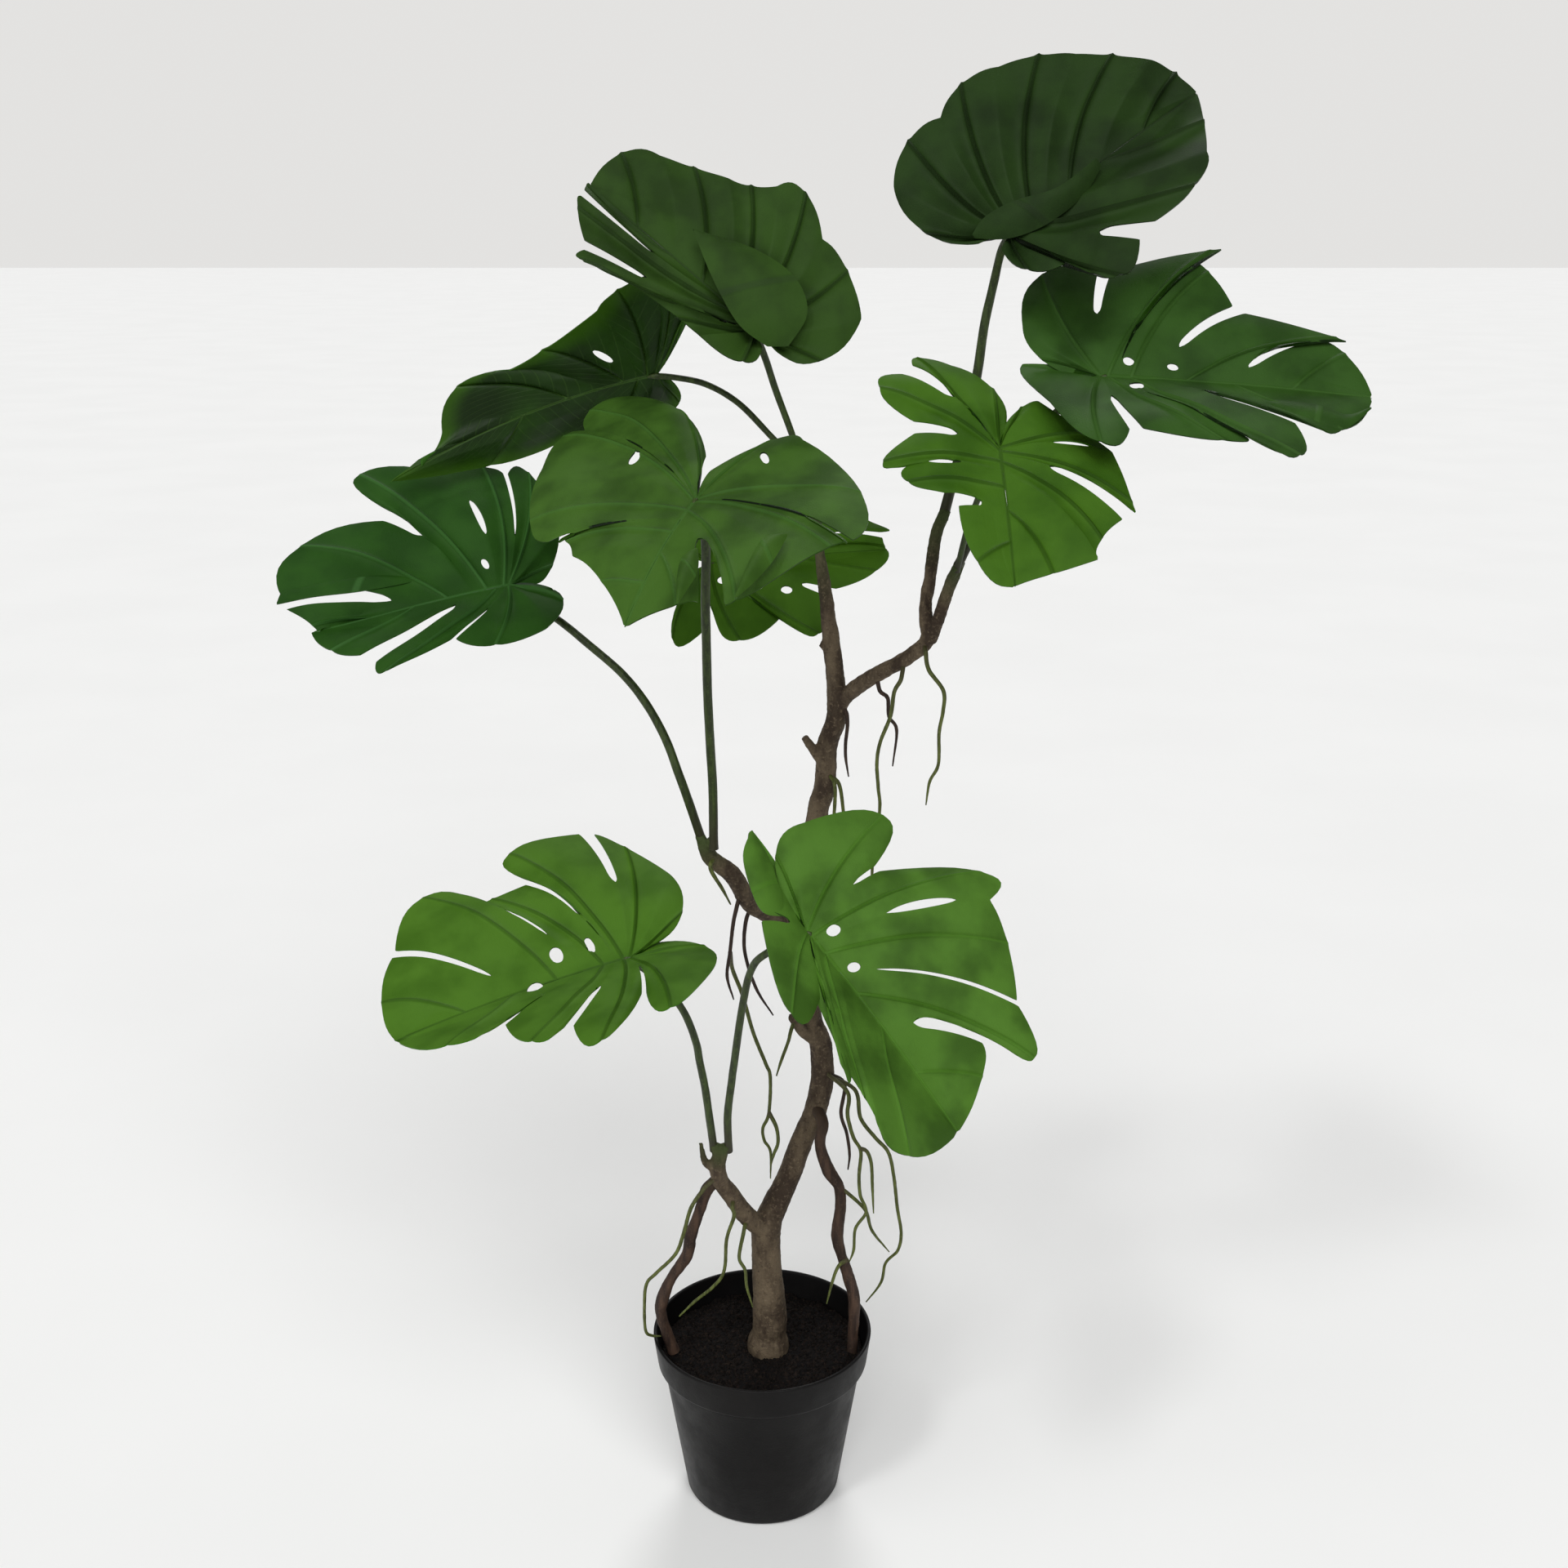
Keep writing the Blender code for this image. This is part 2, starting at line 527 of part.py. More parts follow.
ROOTS = {
    "root_left_outer": ((-37, -38, 250), (-46, -35, 234), (-51, -33, 215), (-57, -30, 197), (-70, -27, 181),
                        (-77, -26, 172), (-79, -24, 156), (-79, -21, 133), (-75, -17, 126), (-69, -16, 125)),
    "root_left_inner": ((-19, -32, 233), (-18, -30, 225), (-23, -28, 207), (-25, -26, 182), (-32, -24, 169),
                        (-45, -22, 156), (-56, -20, 143)),
    "root_bulb": ((-12, -22, 208), (-15, -23, 190), (-11, -24, 181), (-10, -25, 169), (-6, -26, 154)),
    "root_long_left": ((-18, -12, 393), (-12, -12, 376), (-5, -12, 349), (3, -12, 327), (6, -12, 317), (5, -12, 291),
                       (1, -12, 280), (2, -12, 271), (6, -12, 263), (6, -12, 243)),
    "root_loop": ((10, -15, 282), (11, -15, 271), (8, -15, 262)),
    "root_stub_mid": ((19, -5, 345), (18, -5, 340), (13, -7, 326), (10, -10, 317)),
    "root_mid_brown": ((-9, -20, 430), (-10, -18, 408), (-3, -16, 382), (8, -14, 362)),
    "root_mid_thick": ((-15, -30, 441), (-17, -30, 431), (-19, -30, 413), (-21, -30, 396), (-17, -30, 380)),
    "root_mid_short": ((-30, -46, 474), (-23, -44, 460), (-18, -42, 449)),
    "root_right_long": ((86, -24, 588), (82, -24, 580), (80, -24, 565), (74, -25, 549), (72, -26, 536), (73, -27, 520),
                        (74, -28, 505), (70, -29, 470), (71, -30, 443)),
    "root_right_short": ((100, -31, 606), (102, -34, 596), (111, -34, 583), (111, -34, 570), (109, -34, 557),
                         (109, -34, 537), (104, -34, 526), (102, -34, 511)),
    "root_right_hook": ((74, -9, 577), (79, -8, 572), (80, -7, 560), (85, -6, 551), (83, -4, 527)),
    "root_main_a": ((54, 12, 558), (55, 12, 549), (54, 11, 539), (54, 10, 529), (56, 10, 516)),
    "root_main_b": ((47, 8, 512), (47, 6, 494), (45, 5, 476)),
    "root_main_c": ((50, 14, 510), (53, 12, 492), (55, 11, 474)),
    "root_dark": ((55, 4, 305), (53, 2, 284), (57, 2, 269), (59, 1, 254), (58, 0, 243)),
    "root_front_fork": ((57, -8, 304), (57, -9, 288), (61, -9, 272), (66, -10, 262), (65, -11, 245), (66, -11, 230),
                        (70, -12, 218), (63, -13, 206), (62, -13, 190), (59, -14, 181)),
    "root_front_side": ((70, -12, 263), (73, -12, 254), (74, -12, 237), (75, -12, 217)),
    "root_far_right": ((62, -2, 303), (66, -1, 282), (76, 0, 267), (85, 2, 255), (89, 3, 237), (92, 4, 212),
                       (95, 5, 192), (93, 6, 178), (85, 8, 167), (82, 9, 151), (72, 10, 135)),
    "root_cross": ((59, -5, 227), (70, -3, 214), (75, 1, 196), (87, 4, 178)),
    "root_tail": ((52, -12, 177), (48, -13, 166), (44, -14, 149)),
}
for label, points in ROOTS.items():
    finish(tube(label, points, (1.3, 0.9), 0), ROOT)
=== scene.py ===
"""Potted monstera: fine blades, stalks, bark, aerial roots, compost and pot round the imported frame.

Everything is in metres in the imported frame; the tables are in millimetres and degrees.
"""
import logging
import math
from dataclasses import dataclass, field
from enum import Enum

import bmesh
import bpy
import numpy as np
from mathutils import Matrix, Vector, noise

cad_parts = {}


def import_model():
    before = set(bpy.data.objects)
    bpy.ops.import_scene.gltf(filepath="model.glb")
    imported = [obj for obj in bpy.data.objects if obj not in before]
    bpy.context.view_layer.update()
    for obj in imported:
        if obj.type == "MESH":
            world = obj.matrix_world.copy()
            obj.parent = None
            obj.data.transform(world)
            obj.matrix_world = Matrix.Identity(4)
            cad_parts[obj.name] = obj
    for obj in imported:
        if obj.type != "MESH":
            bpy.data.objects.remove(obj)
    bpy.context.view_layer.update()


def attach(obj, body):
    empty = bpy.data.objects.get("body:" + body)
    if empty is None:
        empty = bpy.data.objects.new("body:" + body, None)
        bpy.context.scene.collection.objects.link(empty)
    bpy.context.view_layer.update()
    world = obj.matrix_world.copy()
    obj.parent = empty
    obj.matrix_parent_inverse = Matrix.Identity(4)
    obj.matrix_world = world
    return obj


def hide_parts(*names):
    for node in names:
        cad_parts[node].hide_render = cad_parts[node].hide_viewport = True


LOG = logging.getLogger("potted_monstera")
MM = 0.001
PER_MM = 1000.0
BODY = "root"
Point = tuple[float, float, float]
EASED = {"interpolation_type": "SMOOTHSTEP"}
IN_COLOUR = {"data_type": "RGBA"}


# ---------------------------------------------------------------- nodes and colours
def linear(code: str) -> tuple[float, float, float, float]:
    """Turn an sRGB hex colour into a linear one.

    Args:
        code: six hex digits.

    Returns:
        Linear red, green, blue and an alpha of one.
    """
    shares = [int(code[index:index + 2], 16) / 255 for index in (0, 2, 4)]
    return (
        *(share / 12.92 if share <= 0.04045 else ((share + 0.055) / 1.055) ** 2.4 for share in shares),
        1.0)


def add_node(tree: bpy.types.NodeTree, kind: str, settings: dict | None = None,
             inputs: dict | None = None) -> bpy.types.Node:
    """Add one node to a tree with its settings and its links.

    Args:
        tree: the tree that gets the node.
        kind: the node's type.
        settings: attribute values of the node.
        inputs: a value, a hex colour or a socket to link from, for each input name or number.

    Returns:
        The new node.
    """
    node = tree.nodes.new(kind)
    for name, value in (settings or {}).items():
        setattr(node, name, value)
    for key, value in (inputs or {}).items():
        if isinstance(value, bpy.types.NodeSocket):
            tree.links.new(value, node.inputs[key])
        elif isinstance(value, str) and node.inputs[key].type == "RGBA":
            node.inputs[key].default_value = linear(value)
        else:
            node.inputs[key].default_value = value
    return node


def new_material(name: str) -> tuple[bpy.types.Material, bpy.types.NodeTree, bpy.types.Node]:
    """Make an empty material with its shader.

    Args:
        name: the material's name.

    Returns:
        The material, its tree and its Principled shader.
    """
    made = bpy.data.materials.new(name)
    made.use_nodes = True
    return made, made.node_tree, made.node_tree.nodes["Principled BSDF"]


def speckle(tree: bpy.types.NodeTree, size_mm: float, detail: float = 2.0, roughness: float = 0.5,
            stretch: Point | None = None) -> bpy.types.NodeSocket:
    """Add cloudy noise on Object coordinates.

    Args:
        tree: the material's tree.
        size_mm: width of one patch.
        detail: octaves of finer noise.
        roughness: strength of the finer noise.
        stretch: scale of the coordinates on each axis.

    Returns:
        The noise value's socket, around one half.
    """
    place = add_node(tree, "ShaderNodeTexCoord").outputs["Object"]
    if stretch is not None:
        place = add_node(tree, "ShaderNodeMapping", None, {"Vector": place, "Scale": stretch}).outputs[0]
    return add_node(tree, "ShaderNodeTexNoise", None, {
        "Vector": place, "Scale": PER_MM / size_mm, "Detail": detail, "Roughness": roughness}).outputs["Fac"]


# ---------------------------------------------------------------- finishes
@dataclass(frozen=True)
class LeafFinish:
    """Printed and pressed polyester leaf with a thin clear coat: satin above, dull and paler below."""

    name: str
    slot: str
    base: str
    shade: str
    margin: str
    # vein is the veins' own pale colour on most leaves; on leaves f, g and i it is darker than the blade,
    # painted shade of the sunken vein groove.
    vein: str
    under: str
    vein_and_groove_shade_strength: float = 0.5
    roughness: float = 0.42
    gloss: float = 0.3

    def upper(self) -> bpy.types.Material:
        """Build the material of the upper face.

        Returns:
            The material.
        """
        made, tree, shader = new_material(self.name + "_upper")
        chart = add_node(tree, "ShaderNodeAttribute", {"attribute_name": "leaf_chart"})
        across, along, rim = add_node(
            tree, "ShaderNodeSeparateXYZ", None, {0: chart.outputs["Vector"]}).outputs
        # Dye patches about 45 mm wide, with a fine mottle of 3 mm where the coat has dried unevenly.
        patches = add_node(
            tree, "ShaderNodeMapRange", EASED, {0: speckle(tree, 45.0, 3.0), 1: 0.35, 2: 0.68}).outputs[0]
        colour = add_node(
            tree, "ShaderNodeMix", IN_COLOUR, {0: patches, 6: self.base, 7: self.shade}).outputs[2]
        mottle = add_node(
            tree, "ShaderNodeMapRange", EASED,
            {0: speckle(tree, 3.0, 3.0, 0.6), 1: 0.3, 2: 0.75, 3: 0.0, 4: 0.22}).outputs[0]
        colour = add_node(
            tree, "ShaderNodeMix", IN_COLOUR, {0: mottle, 6: colour, 7: self.shade}).outputs[2]
        # The dye thins out over the last 16 mm before the margin.
        edge = add_node(
            tree, "ShaderNodeMapRange", EASED, {0: rim, 1: 16.0, 2: 0.5, 3: 0.0, 4: 0.75}).outputs[0]
        colour = add_node(
            tree, "ShaderNodeMix", IN_COLOUR, {0: edge, 6: colour, 7: self.margin}).outputs[2]
        # Main veins fade out 1.25 mm off their middle; a faint side vein every 9 mm leans forward.
        main = add_node(tree, "ShaderNodeMapRange", EASED, {0: across, 1: 1.25, 2: 0.35}).outputs[0]
        rib = add_node(tree, "ShaderNodeMapRange", EASED, {0: along, 1: 1.6, 2: 0.5}).outputs[0]
        lean = add_node(
            tree, "ShaderNodeMath", {"operation": "SUBTRACT"},
            {
                0: along,
                1: add_node(
                    tree, "ShaderNodeMath", {"operation": "MULTIPLY"},
                    {0: across, 1: 1.15}).outputs[0]}).outputs[0]
        wave = add_node(
            tree, "ShaderNodeMath", {"operation": "PINGPONG"},
            {
                0: add_node(
                    tree, "ShaderNodeMath", {"operation": "DIVIDE"}, {0: lean, 1: 9.0}).outputs[0],
                1: 0.5}).outputs[0]
        side = add_node(tree, "ShaderNodeMapRange", EASED, {0: wave, 1: 0.075, 2: 0.02}).outputs[0]
        side_faint = add_node(
            tree, "ShaderNodeMath", {"operation": "MULTIPLY"}, {0: side, 1: 0.32}).outputs[0]
        fade = add_node(
            tree, "ShaderNodeMapRange", EASED, {0: rim, 1: 2.0, 2: 25.0, 3: 0.25, 4: 1.0}).outputs[0]
        strength = add_node(
            tree, "ShaderNodeMath", {"operation": "MULTIPLY"},
            {
                0: add_node(
                    tree, "ShaderNodeMath", {"operation": "MAXIMUM"},
                    {
                        0: add_node(
                            tree, "ShaderNodeMath", {"operation": "MAXIMUM"},
                            {0: main, 1: rib}).outputs[0],
                        1: side_faint}).outputs[0],
                1: fade}).outputs[0]
        # The veins take the vein colour: their own pale colour on most leaves, painted groove shade on leaves
        # f, g and i, where it is darker than the blade.
        colour = add_node(
            tree, "ShaderNodeMix", IN_COLOUR,
            {
                0: add_node(
                    tree, "ShaderNodeMath", {"operation": "MULTIPLY"},
                    {0: strength, 1: self.vein_and_groove_shade_strength}).outputs[0],
                6: colour, 7: self.vein}).outputs[2]
        tree.links.new(colour, shader.inputs["Base Color"])
        # The pressed grain is under 1 mm, drawn 1.6 mm wide so that it shows, and the veins are sunken.
        grain = add_node(
            tree, "ShaderNodeMath", {"operation": "MULTIPLY"},
            {0: speckle(tree, 1.6, 2.0), 1: 0.22}).outputs[0]
        relief = add_node(
            tree, "ShaderNodeMath", {"operation": "SUBTRACT"},
            {
                0: grain,
                1: add_node(
                    tree, "ShaderNodeMath", {"operation": "MULTIPLY"},
                    {0: strength, 1: 0.8}).outputs[0]}).outputs[0]
        tree.links.new(
            add_node(
                tree, "ShaderNodeBump", None,
                {"Strength": 1.0, "Distance": 0.35 * MM, "Height": relief}).outputs[0],
            shader.inputs["Normal"])
        rough = add_node(
            tree, "ShaderNodeMapRange", EASED,
            {
                0: speckle(tree, 12.0, 3.0), 1: 0.3, 2: 0.7, 3: self.roughness - 0.06,
                4: self.roughness + 0.1}).outputs[0]
        tree.links.new(rough, shader.inputs["Roughness"])
        shader.inputs["Specular IOR Level"].default_value = self.gloss
        return made

    def lower(self) -> bpy.types.Material:
        """Build the material of the underside.

        Returns:
            The material.
        """
        made, tree, shader = new_material(self.name + "_under")
        chart = add_node(tree, "ShaderNodeAttribute", {"attribute_name": "leaf_chart"})
        across, along, rim = add_node(
            tree, "ShaderNodeSeparateXYZ", None, {0: chart.outputs["Vector"]}).outputs
        patches = add_node(
            tree, "ShaderNodeMapRange", EASED,
            {0: speckle(tree, 30.0, 3.0), 1: 0.35, 2: 0.7, 3: 0.0, 4: 0.5}).outputs[0]
        colour = add_node(
            tree, "ShaderNodeMix", IN_COLOUR, {0: patches, 6: self.under, 7: self.base}).outputs[2]
        main = add_node(
            tree, "ShaderNodeMath", {"operation": "MAXIMUM"},
            {
                0: add_node(tree, "ShaderNodeMapRange", EASED, {0: across, 1: 1.5, 2: 0.4}).outputs[0],
                1: add_node(
                    tree, "ShaderNodeMapRange", EASED, {0: along, 1: 2.0, 2: 0.6}).outputs[0]}).outputs[0]
        # The underside veins take the same vein colour, so on leaves f, g and i they carry the painted groove
        # shade as well.
        colour = add_node(
            tree, "ShaderNodeMix", IN_COLOUR,
            {
                0: add_node(
                    tree, "ShaderNodeMath", {"operation": "MULTIPLY"}, {0: main, 1: 0.35}).outputs[0],
                6: colour, 7: self.vein}).outputs[2]
        tree.links.new(colour, shader.inputs["Base Color"])
        # The bare cloth back shows a 0.8 mm weave-like grain and raised veins.
        grain = add_node(
            tree, "ShaderNodeMath", {"operation": "MULTIPLY"},
            {0: speckle(tree, 0.8, 2.0), 1: 0.4}).outputs[0]
        tree.links.new(
            add_node(
                tree, "ShaderNodeBump", None,
                {
                    "Strength": 1.0, "Distance": 0.3 * MM,
                    "Height": add_node(
                        tree, "ShaderNodeMath", {"operation": "ADD"},
                        {
                            0: grain,
                            1: add_node(
                                tree, "ShaderNodeMath", {"operation": "MULTIPLY"},
                                {0: main, 1: 0.8}).outputs[0]}).outputs[0]}).outputs[0],
            shader.inputs["Normal"])
        shader.inputs["Roughness"].default_value = 0.62
        shader.inputs["Specular IOR Level"].default_value = 0.1
        return made


@dataclass(frozen=True)
class BarkFinish:
    """Moulded foam bark with a washed brown paint: dull, pitted, olive where it meets young growth."""

    base: str = "645745"
    dark: str = "372c22"
    pale: str = "776854"
    young: str = "394622"
    name: str = "bark_painted"

    def material(self) -> bpy.types.Material:
        """Build the bark's material.

        Returns:
            The material.
        """
        made, tree, shader = new_material(self.name)
        # Washes of paint 14 mm wide and 31 mm long run up the stem; pits are 3.4 mm and the tooth 0.9 mm.
        wash = add_node(
            tree, "ShaderNodeMapRange", EASED,
            {0: speckle(tree, 14.0, 4.0, 0.6, (1.0, 1.0, 0.45)), 1: 0.36, 2: 0.66}).outputs[0]
        colour = add_node(
            tree, "ShaderNodeMix", IN_COLOUR, {0: wash, 6: self.dark, 7: self.base}).outputs[2]
        flecks = add_node(
            tree, "ShaderNodeMapRange", EASED,
            {0: speckle(tree, 2.4, 4.0, 0.65), 1: 0.52, 2: 0.7, 3: 0.0, 4: 0.6}).outputs[0]
        colour = add_node(
            tree, "ShaderNodeMix", IN_COLOUR, {0: flecks, 6: colour, 7: self.pale}).outputs[2]
        pits = add_node(
            tree, "ShaderNodeMapRange", EASED,
            {
                0: speckle(tree, 3.4, 3.0, 0.6, (1.0, 1.0, 1.6)), 1: 0.42, 2: 0.3, 3: 0.0,
                4: 0.7}).outputs[0]
        colour = add_node(tree, "ShaderNodeMix", IN_COLOUR, {0: pits, 6: colour, 7: self.dark}).outputs[2]
        fresh = add_node(tree, "ShaderNodeAttribute", {"attribute_name": "young"}).outputs["Fac"]
        colour = add_node(
            tree, "ShaderNodeMix", IN_COLOUR, {0: fresh, 6: colour, 7: self.young}).outputs[2]
        tree.links.new(colour, shader.inputs["Base Color"])
        tooth = add_node(
            tree, "ShaderNodeMath", {"operation": "ADD"},
            {
                0: add_node(
                    tree, "ShaderNodeMath", {"operation": "MULTIPLY"},
                    {0: speckle(tree, 0.9, 2.0), 1: 0.35}).outputs[0],
                1: speckle(tree, 4.0, 4.0, 0.65)}).outputs[0]
        tree.links.new(
            add_node(
                tree, "ShaderNodeBump", None,
                {"Strength": 1.0, "Distance": 1.1 * MM, "Height": tooth}).outputs[0],
            shader.inputs["Normal"])
        shader.inputs["Roughness"].default_value = 0.78
        shader.inputs["Specular IOR Level"].default_value = 0.22
        return made


@dataclass(frozen=True)
class StrandFinish:
    """Plastic-coated wire for a stalk or a root: satin, streaked along its length."""

    name: str
    base: str
    shade: str
    pale: str
    tip: str
    roughness: float = 0.5
    streak_mm: float = 2.0

    def material(self) -> bpy.types.Material:
        """Build the strand's material; it reads the strand's own share of length.

        Returns:
            The material.
        """
        made, tree, shader = new_material(self.name)
        share = add_node(tree, "ShaderNodeAttribute", {"attribute_name": "share"}).outputs["Fac"]
        # Streaks are one strand-width apart and six times as long.
        streak = add_node(
            tree, "ShaderNodeMapRange", EASED,
            {0: speckle(tree, self.streak_mm, 3.0, 0.6, (1.0, 1.0, 0.16)), 1: 0.35, 2: 0.68}).outputs[0]
        colour = add_node(
            tree, "ShaderNodeMix", IN_COLOUR, {0: streak, 6: self.shade, 7: self.base}).outputs[2]
        spots = add_node(
            tree, "ShaderNodeMapRange", EASED,
            {0: speckle(tree, 1.4, 3.0, 0.6), 1: 0.56, 2: 0.72, 3: 0.0, 4: 0.55}).outputs[0]
        colour = add_node(
            tree, "ShaderNodeMix", IN_COLOUR, {0: spots, 6: colour, 7: self.pale}).outputs[2]
        colour = add_node(
            tree, "ShaderNodeMix", IN_COLOUR,
            {
                0: add_node(
                    tree, "ShaderNodeMapRange", EASED,
                    {0: share, 1: 0.18, 2: 0.0, 3: 0.0, 4: 0.85}).outputs[0],
                6: colour, 7: self.tip}).outputs[2]
        tree.links.new(colour, shader.inputs["Base Color"])
        tree.links.new(
            add_node(
                tree, "ShaderNodeBump", None,
                {
                    "Strength": 1.0, "Distance": 0.35 * MM,
                    "Height": speckle(tree, self.streak_mm * 0.6, 3.0, 0.6, (1.0, 1.0, 0.3))}).outputs[0],
            shader.inputs["Normal"])
        shader.inputs["Roughness"].default_value = self.roughness
        shader.inputs["Specular IOR Level"].default_value = 0.3
        return made


@dataclass(frozen=True)
class CompostFinish:
    """Damp-looking peat compost: near black, rough, with browner fibres."""

    name: str
    base: str = "0a0808"
    fibre: str = "211812"

    def material(self) -> bpy.types.Material:
        """Build the compost's material.

        Returns:
            The material.
        """
        made, tree, shader = new_material(self.name)
        # Crumbs of 3 mm differ in tone, with dusty grains of 0.9 mm.
        tone = add_node(
            tree, "ShaderNodeMapRange", EASED,
            {0: speckle(tree, 3.0, 4.0, 0.7), 1: 0.45, 2: 0.72, 3: 0.0, 4: 0.9}).outputs[0]
        tree.links.new(
            add_node(tree, "ShaderNodeMix", IN_COLOUR, {0: tone, 6: self.base, 7: self.fibre}).outputs[2],
            shader.inputs["Base Color"])
        tree.links.new(
            add_node(
                tree, "ShaderNodeBump", None,
                {
                    "Strength": 1.0, "Distance": 0.6 * MM,
                    "Height": speckle(tree, 0.9, 4.0, 0.7)}).outputs[0],
            shader.inputs["Normal"])
        shader.inputs["Roughness"].default_value = 0.92
        shader.inputs["Specular IOR Level"].default_value = 0.15
        return made


@dataclass(frozen=True)
class PotFinish:
    """Blow-moulded charcoal polypropylene: satin, with a fine orange-peel and a dusty bloom."""

    base: str = "070606"
    bloom: str = "110f0e"
    name: str = "pot_polypropylene"

    def material(self) -> bpy.types.Material:
        """Build the pot's material.

        Returns:
            The material.
        """
        made, tree, shader = new_material(self.name)
        # Dusty bloom lies in drifts 60 mm wide, flow lines ring the wall every 4 mm, the peel is 1.2 mm.
        drift = add_node(
            tree, "ShaderNodeMapRange", EASED,
            {0: speckle(tree, 60.0, 4.0, 0.6), 1: 0.4, 2: 0.75, 3: 0.0, 4: 0.75}).outputs[0]
        colour = add_node(
            tree, "ShaderNodeMix", IN_COLOUR, {0: drift, 6: self.base, 7: self.bloom}).outputs[2]
        specks = add_node(
            tree, "ShaderNodeMapRange", EASED,
            {0: speckle(tree, 1.3, 2.0, 0.5), 1: 0.66, 2: 0.76, 3: 0.0, 4: 0.35}).outputs[0]
        colour = add_node(
            tree, "ShaderNodeMix", IN_COLOUR, {0: specks, 6: colour, 7: self.bloom}).outputs[2]
        tree.links.new(colour, shader.inputs["Base Color"])
        rings = speckle(tree, 4.0, 2.0, 0.5, (0.03, 0.03, 1.0))
        peel = add_node(
            tree, "ShaderNodeMath", {"operation": "ADD"},
            {
                0: add_node(
                    tree, "ShaderNodeMath", {"operation": "MULTIPLY"},
                    {0: speckle(tree, 1.2, 2.0), 1: 0.7}).outputs[0],
                1: add_node(
                    tree, "ShaderNodeMath", {"operation": "MULTIPLY"},
                    {0: rings, 1: 0.5}).outputs[0]}).outputs[0]
        tree.links.new(
            add_node(
                tree, "ShaderNodeBump", None,
                {"Strength": 1.0, "Distance": 0.12 * MM, "Height": peel}).outputs[0],
            shader.inputs["Normal"])
        rough = add_node(
            tree, "ShaderNodeMapRange", EASED,
            {0: speckle(tree, 20.0, 4.0, 0.6), 1: 0.3, 2: 0.7, 3: 0.42, 4: 0.56}).outputs[0]
        tree.links.new(rough, shader.inputs["Roughness"])
        shader.inputs["Specular IOR Level"].default_value = 0.16
        return made


# ---------------------------------------------------------------- meshes
def piece_from(name: str, mesh: bpy.types.Mesh) -> bpy.types.Object:
    """Link a mesh as a piece at the origin.

    Args:
        name: the piece's name.
        mesh: its mesh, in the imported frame.

    Returns:
        The new object.
    """
    mesh.name = name
    made = bpy.data.objects.new(name, mesh)
    bpy.context.scene.collection.objects.link(made)
    return made


def settle(name: str, draft: bpy.types.Object) -> bpy.types.Object:
    """Turn a draft with modifiers into a plain mesh piece.

    Args:
        name: the piece's name.
        draft: the draft object, which is removed.

    Returns:
        The plain piece.
    """
    graph = bpy.context.evaluated_depsgraph_get()
    mesh = bpy.data.meshes.new_from_object(draft.evaluated_get(graph), depsgraph=graph)
    bpy.data.objects.remove(draft, do_unlink=True)
    return piece_from(name, mesh)


def register(piece: bpy.types.Object, slot: str, *nodes: str) -> None:
    """Fix a finished piece to the frame and name what it stands for.

    Args:
        piece: the finished piece.
        slot: the material slot of the record.
        nodes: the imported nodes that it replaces.
    """
    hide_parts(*nodes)
    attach(piece, BODY)
    LOG.info("%s: %d faces, slot %s", piece.name, len(piece.data.polygons), slot)


def face_outwards(bm: bmesh.types.BMesh) -> None:
    """Turn all faces of a closed shape outwards.

    Args:
        bm: the shape, its doubles merged.
    """
    bmesh.ops.recalc_face_normals(bm, faces=bm.faces)
    if bm.calc_volume(signed=True) < 0:
        bmesh.ops.reverse_faces(bm, faces=bm.faces)


def smooth_line(points: tuple[Point, ...], step_mm: float) -> np.ndarray:
    """Run a smooth line through points at an even step.

    Args:
        points: the points in millimetres.
        step_mm: distance between the new points.

    Returns:
        New points, with the part of the table's length as a fourth column.
    """
    raw = np.array(points, float)
    padded = np.vstack([2 * raw[0] - raw[1], raw, 2 * raw[-1] - raw[-2]])
    found = []
    for index in range(len(raw) - 1):
        before, start, end, after = padded[index:index + 4]
        count = max(1, int(round(np.linalg.norm(end - start) / step_mm)))
        for turn in range(count):
            t = turn / count
            place = 0.5 * (2 * start + (end - before) * t + (2 * before - 5 * start + 4 * end - after) * t * t
                           + (3 * start - before - 3 * end + after) * t ** 3)
            found.append((*place, index + t))
    found.append((*raw[-1], len(raw) - 1))
    return np.array(found)


